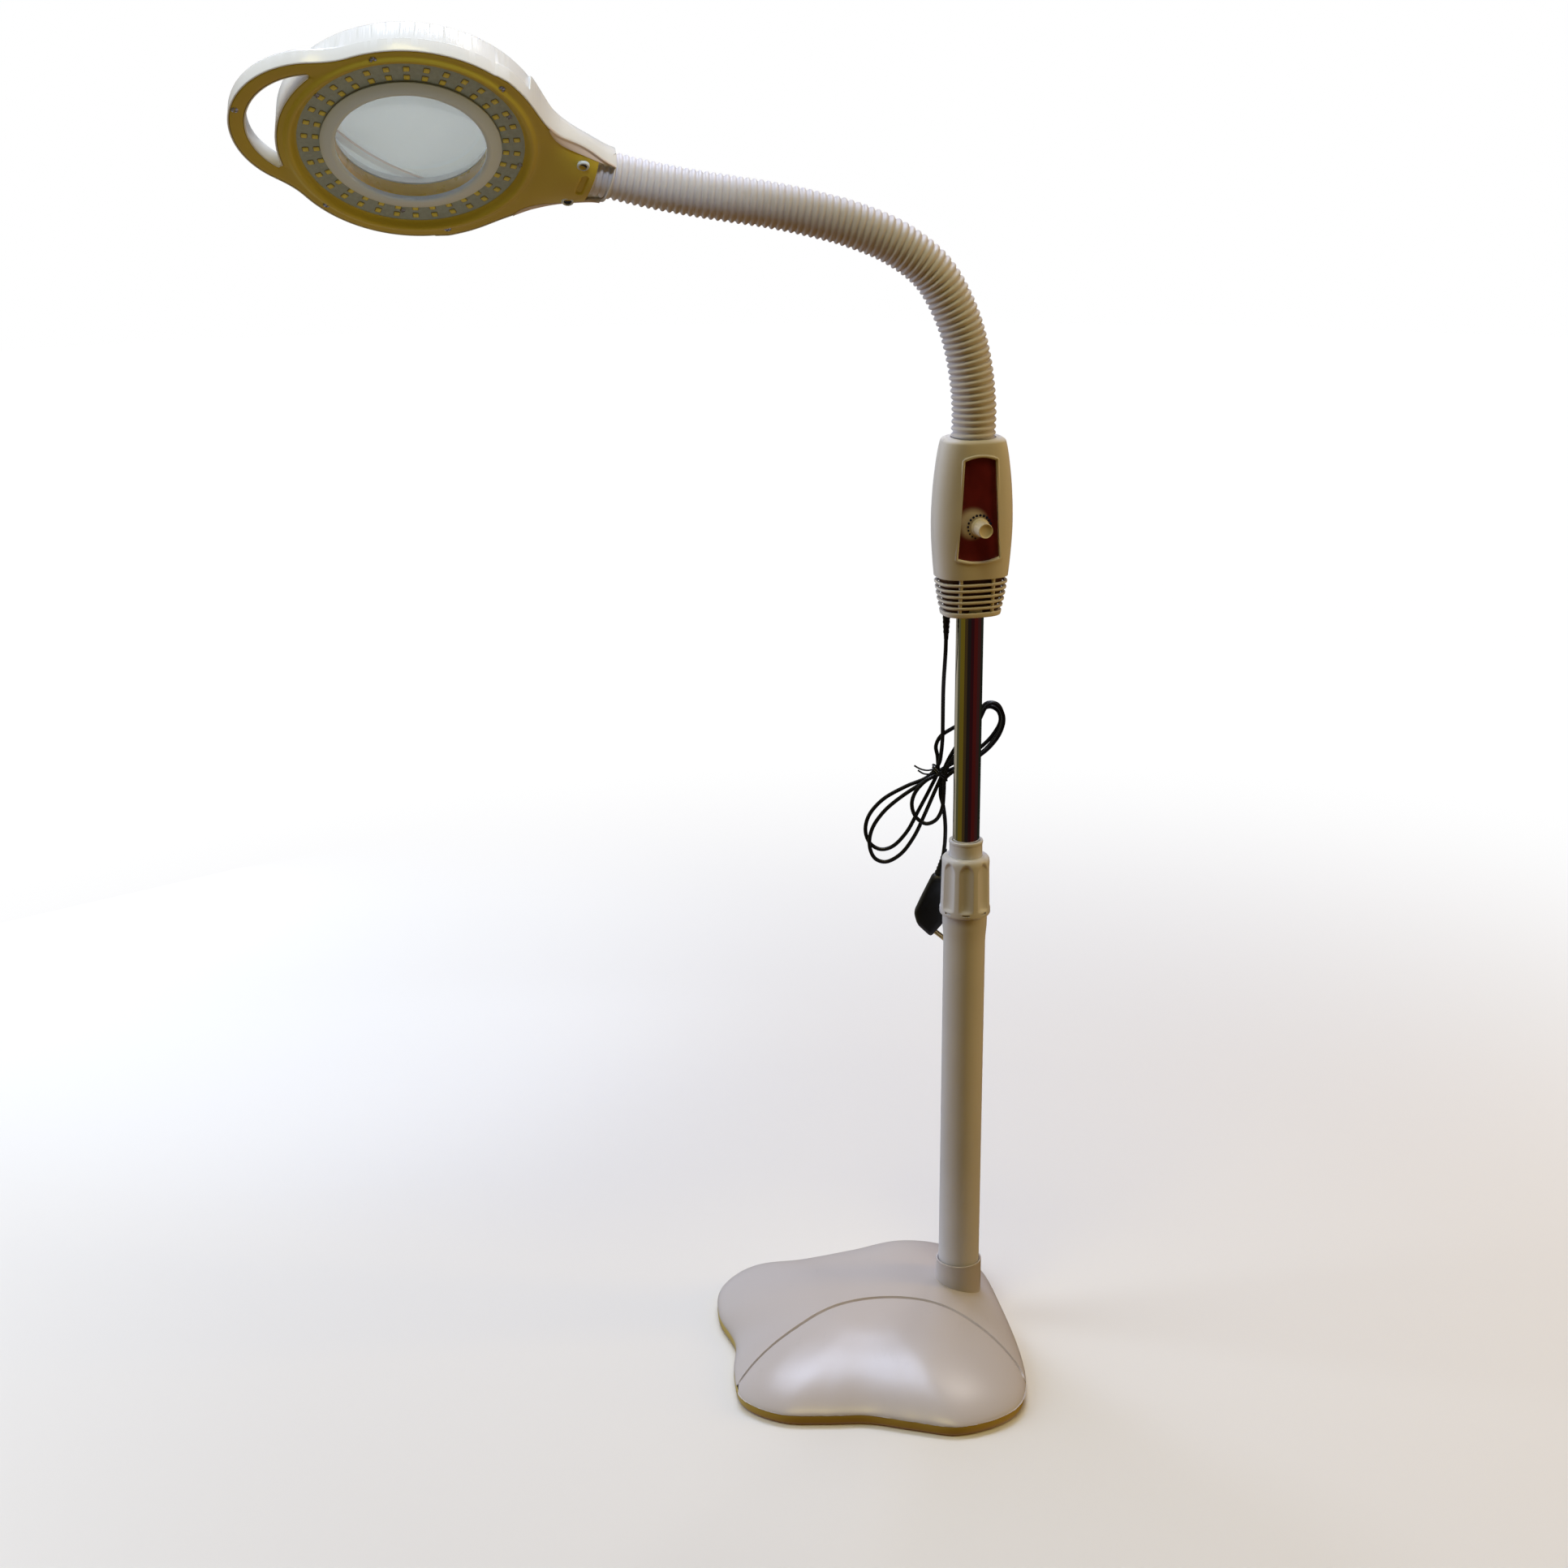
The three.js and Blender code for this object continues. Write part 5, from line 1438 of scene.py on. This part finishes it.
def make_lid():
    """Hinged dust lid over the back of the lens: a thin dished sheet with a raised band."""
    # The thin line beside the band is beige painted shade.
    for name, material, inner, outer in (("lid_band", shell_plastic, 0.6, 6.2),
                                         ("lid_line", leaf_painted_shade, -0.7, 0.6)):
        rows = []
        for angle in spans(radians(-110), radians(-10), 260):
            near, far = ((LID_X + r * cos(angle), LID_Y + r * sin(angle))
                         for r in (LID_STEP + inner, LID_STEP + outer))
            row = [(*near, 30.0), (*near, 28.6), (*far, 28.6), (*far, 30.0)]
            if max(hypot(x, y) for x, y, _ in row) < 64.5:
                rows.append(row)
        head_piece(Mesh().tube(rows), name, material, body="flap")
    head_piece(Mesh().grid(lid_rows(), True), "dust_lid", lid_white, node="lens_cover", crease=40,
               body="flap")
    turn = at(HINGE_X, 0, HINGE_Z) @ Matrix.Rotation(-pi / 2, 4, "X")
    joint = Mesh().lathe(rounded([(2.0, -8), (3.5, -8), (3.5, 8), (2.0, 8)], 0.5, 3), 40, turn)
    # Strap of the hinge, then the finger tab: place, half width, lowest and highest.
    for strip in (
        ((-74.5, 8, 29.9, 34.6), (-71, 8, 30.2, 33.2), (-68, 8, 30.6, 32), (-64, 8, 31.0, 31.9)),
        ((68.5, 11, 29.7, 31.3), (70.5, 10, 29.4, 31.2), (73.5, 8.5, 29.6, 30.9)),
    ):
        joint.tube([[(x, -half, low), (x, half, low), (x, half, high), (x, -half, high)]
                    for x, half, low, high in strip])
    head_piece(joint, "lid_hinge", shell_plastic, crease=40, body="flap")
    arc = [(HINGE_X + 4.2 * cos(t), HINGE_Z + 4.2 * sin(t)) for t in spans(0, pi, 16)]
    arc = [(HINGE_X + 4.6, 27.5), *arc, (HINGE_X - 4.6, 27.5)]
    ears = Mesh()
    for side in (-1, 1):
        ears.tube([[(x, side * y, z) for x, z in arc] for y in (8.7, 13.4)])
    head_piece(ears, "hinge_ears", shell_plastic, crease=40)


def screw_head(shape, x, y, z, radius=2.9):
    """Pan head with a cross recess, seen from below."""
    cross_depth, cross_half = 0.8, 0.45
    rows = []
    for r, dz in ((1.4, 6), (radius, 0.9), (radius, 0.2), (radius * 0.92, -0.35),
                  (radius * 0.7, -0.7), (radius * 0.45, -0.85), (0.02, -0.9)):
        rows.append([])
        for u, v in circle(r, 48):
            crossed = r < radius * 0.75 and min(abs(u), abs(v)) < cross_half
            rows[-1].append((x + u, y + v, z + dz + (cross_depth if crossed else 0.0)))
    return shape.grid(rows, True)


NECK_SCREWS = ((-124, -20), (-124, 20))
HEAD_SCREWS = {
    "head_screw_tip": (127.6, 0), "head_screw_handle_left": (45.5, 78.5),
    "head_screw_handle_right": (45.5, -78.5), "head_screw_neck_left": (-46.5, 78),
    "head_screw_neck_right": (-46.5, -78), "neck_screw_left": (-124, 20),
    "neck_screw_right": (-124, -20),
}


def make_screws():
    """Screws of the head and of the lamp board, with the rings and wells round two of them."""
    rims, wells = Mesh(), Mesh()
    for x, y in NECK_SCREWS:
        place = at(x, y, plate_height(x, y))
        rims.lathe(rounded([(3.0, 1.0), (3.0, -1.3), (4.5, -1.3), (5.0, 0.8)], [0, 0.5, 0.9, 0]),
                   60, place)
        # Black discs in the two screw wells are painted shade of the recesses.
        wells.lathe([(0.02, 0.1), (3.05, -0.1)], 48, place)
    head_piece(wells, "neck_screw_wells", black_rubber, "cover_khaki")
    head_piece(rims, "neck_screw_rims", bezel_plastic, "cover_khaki", crease=50)
    for node, (x, y) in HEAD_SCREWS.items():
        deep = 1.6 if node.startswith("neck") else 0.25
        shape = screw_head(Mesh(), x, y, plate_height(x, y) + deep)
        head_piece(shape, f"{node}_head", zinc, "steel", node, 30)
    shape = Mesh()
    for x, y in ((76.2, 29.9), (-61, 50.4), (-10.4, -72.5), (-81.9, 3)):
        screw_head(shape, x * 0.985, y * 0.985, 2.6, 2.2)
    head_piece(shape, "board_screws", zinc, "steel", crease=30)


make_lower_cover()
make_upper_shell()
make_leaves()
make_lamps()
make_lens()
make_lid()
make_screws()

# CAD nodes inside that stay.
coat(iron, "base_weight")
coat(zinc, "pole_bolt", "box_screw_bottom", "box_screw_top", "pot_shaft", "potentiometer",
     "neck_ferrule", "cover_hinge_pin", *(f"neck_core_{i}" for i in range(1, 7)))
coat(inner_plastic, "tube_plug", "guide_bush", "mast_socket")
coat(driver_green, "driver_board")
coat(sleeve_plastic, "neck_clamp")
coat(shell_plastic, "lens_retainer")


# ---- studio

def add_light(kind, name, place, target, power, colour, glossy, **more):
    """A light aimed at a target. Power is in watts; glossy says if reflections show it."""
    data = bpy.data.lights.new(name, kind)
    data.energy, data.color = power, colour
    for key, value in more.items():
        setattr(data, key, value)
    light = put(name, data)
    light.location = place
    light.rotation_euler = (Vector(target) - Vector(place)).to_track_quat("-Z", "Y").to_euler()
    light.visible_glossy = glossy


def soft_light(name, place, target, size, power, colour, glossy=True):
    add_light("AREA", name, place, target, power, colour, glossy, shape="RECTANGLE",
              size=size[0], size_y=size[1])


def spot(name, place, target, power, colour):
    add_light("SPOT", name, place, target, power, colour, False, spot_size=radians(27),
              spot_blend=0.8, shadow_soft_size=0.12)


def stage_mesh(name, verts, faces, material, seen_by):
    """Part of the studio. seen_by lists the kinds of ray that meet it."""
    mesh = bpy.data.meshes.new(name)
    mesh.from_pydata(verts, [], faces)
    mesh.materials.append(material)
    obj = put(name, mesh)
    for kind in ("camera", "diffuse", "glossy", "transmission", "shadow"):
        setattr(obj, f"visible_{kind}", kind in seen_by)


def glow(name, colour):
    """Material that only gives off a colour."""
    m = Nodes(name)
    m.set(Base_Color=(0, 0, 0), Roughness=1.0, Specular_IOR_Level=0.0, Emission_Color=colour,
          Emission_Strength=1.0)
    return m.material


def floor_material():
    """Pale floor that brightens to the white of the backdrop away from the lamp."""
    m = Nodes("floor_pale")
    away = m.near(0.5, 1.7)
    m.set(Base_Color=m.mix(away, (0.80, 0.80, 0.80), (0, 0, 0)), Roughness=0.85,
          Specular_IOR_Level=0.15, Emission_Color=(1, 1, 1), Emission_Strength=away)
    return m.material


# What the polished mast mirrors: arcs of wall, in degrees round from the front, and colours.
MIRRORED = [
    (-180, -140, (0.20, 0.19, 0.16)), (-140, -104, (0.32, 0.29, 0.22)),
    (-104, -78, (0.070, 0.066, 0.030)), (-78, -38, (0.105, 0.075, 0.008)),
    (-38, -14, (0.040, 0.024, 0.008)), (-14, 14, (0.012, 0.008, 0.007)),
    (14, 40, (0.020, 0.004, 0.005)), (40, 74, (0.050, 0.006, 0.005)),
    (74, 108, (0.034, 0.010, 0.009)), (108, 150, (0.014, 0.015, 0.010)),
    (150, 180, (0.003, 0.003, 0.003)),
]


FLOOR_HALF, BACKDROP_RADIUS, MIRROR_RADIUS = 7, 6.4, 2.8  # metres


def make_stage():
    """Floor, white backdrop, and cards that only lamplight or the mast meets; in metres."""
    quad = [(0, 1, 2, 3)]
    wide = [(x * FLOOR_HALF, y * FLOOR_HALF) for x, y in ((-1, -1), (1, -1), (1, 1), (-1, 1))]
    stage_mesh("floor", raised(wide, 0), quad, floor_material(),
               ("camera", "transmission", "shadow"))
    stage_mesh("floor_card", raised(wide, -0.01), quad, glow("floor_bounce", (0.195, 0.090, 0.004)),
               ("diffuse",))
    n = 48
    dome = [(x * share, y * share, z) for share, z in ((1, -1), (1, 7), (0.01, 9))
            for x, y in circle(BACKDROP_RADIUS, n)]
    around = [(i, (i + 1) % n) for i in range(n)]
    stage_mesh("backdrop", dome, [(k + i, k + j, k + n + j, k + n + i) for k in (0, n)
                                  for i, j in around],
               glow("backdrop_white", (1, 1, 1)), ("camera", "transmission"))
    stage_mesh("front_card", [(-6, -2.5, 0), (6, -2.5, 0), (6, -2.5, 6), (-6, -2.5, 6)], quad,
               glow("front_olive", (0.03, 0.022, 0.0)), ("diffuse",))
    for index, (first, last, colour) in enumerate(MIRRORED):
        arc = [(MIRROR_RADIUS * sin(a), -MIRROR_RADIUS * cos(a))
               for a in map(radians, spans(first, last, 4))]
        stage_mesh(f"mirror_card_{index}", raised(arc, -2.5) + raised(arc, 3.2),
                   [(k, k + 1, 6 + k, 5 + k) for k in range(4)],
                   glow(f"mirror_{index}", colour), ("glossy",))


def make_lights():
    """Dim cool surroundings and the studio's lights; places and sizes in metres."""
    world = bpy.data.worlds.new("studio")
    world.use_nodes = True
    background = world.node_tree.nodes["Background"]
    background.inputs["Color"].default_value = (0.82, 0.75, 0.90, 1)
    background.inputs["Strength"].default_value = 0.33
    bpy.context.scene.world = world
    bpy.context.scene.view_settings.view_transform = "Standard"
    soft_light("key_left", (-2.3, -0.1, 1.5), (0, 0, 0.6), (1.2, 2.2), 24, (0.86, 0.94, 1.0), False)
    soft_light("key_top", (-0.6, 1.9, 3.95), (-0.15, -0.1, 0.4), (1.9, 1.2), 88, (0.68, 0.77, 1.0))
    soft_light("top_front", (-0.3, -1.4, 4.2), (0, 0, 0.6), (1.6, 1.2), 38, (1.0, 0.84, 0.32))
    soft_light("kick_low", (-1.3, 0.9, 0.15), (-0.4, -0.1, 1.0), (0.8, 0.5), 7.2,
               (0.60, 0.80, 1.0), False)
    soft_light("key_right", (0.75, 1.8, 3.6), (0, -0.1, 0.1), (0.6, 0.5), 13, (1.0, 0.93, 0.86))
    spot("head_face", (-0.325, -0.79, 0.31), (-0.435, -0.1, 0.985), 5.4, (0.92, 1.0, 0.80))
    spot("head_wall", (0.05, -1.0, 2.05), (-0.40, -0.1, 1.02), 44, (0.72, 0.84, 1.0))
    soft_light("fill_right", (2.2, 0.1, 1.1), (0, 0, 0.6), (0.6, 1.8), 17, (1.0, 0.65, 0.12), False)


make_stage()
make_lights()
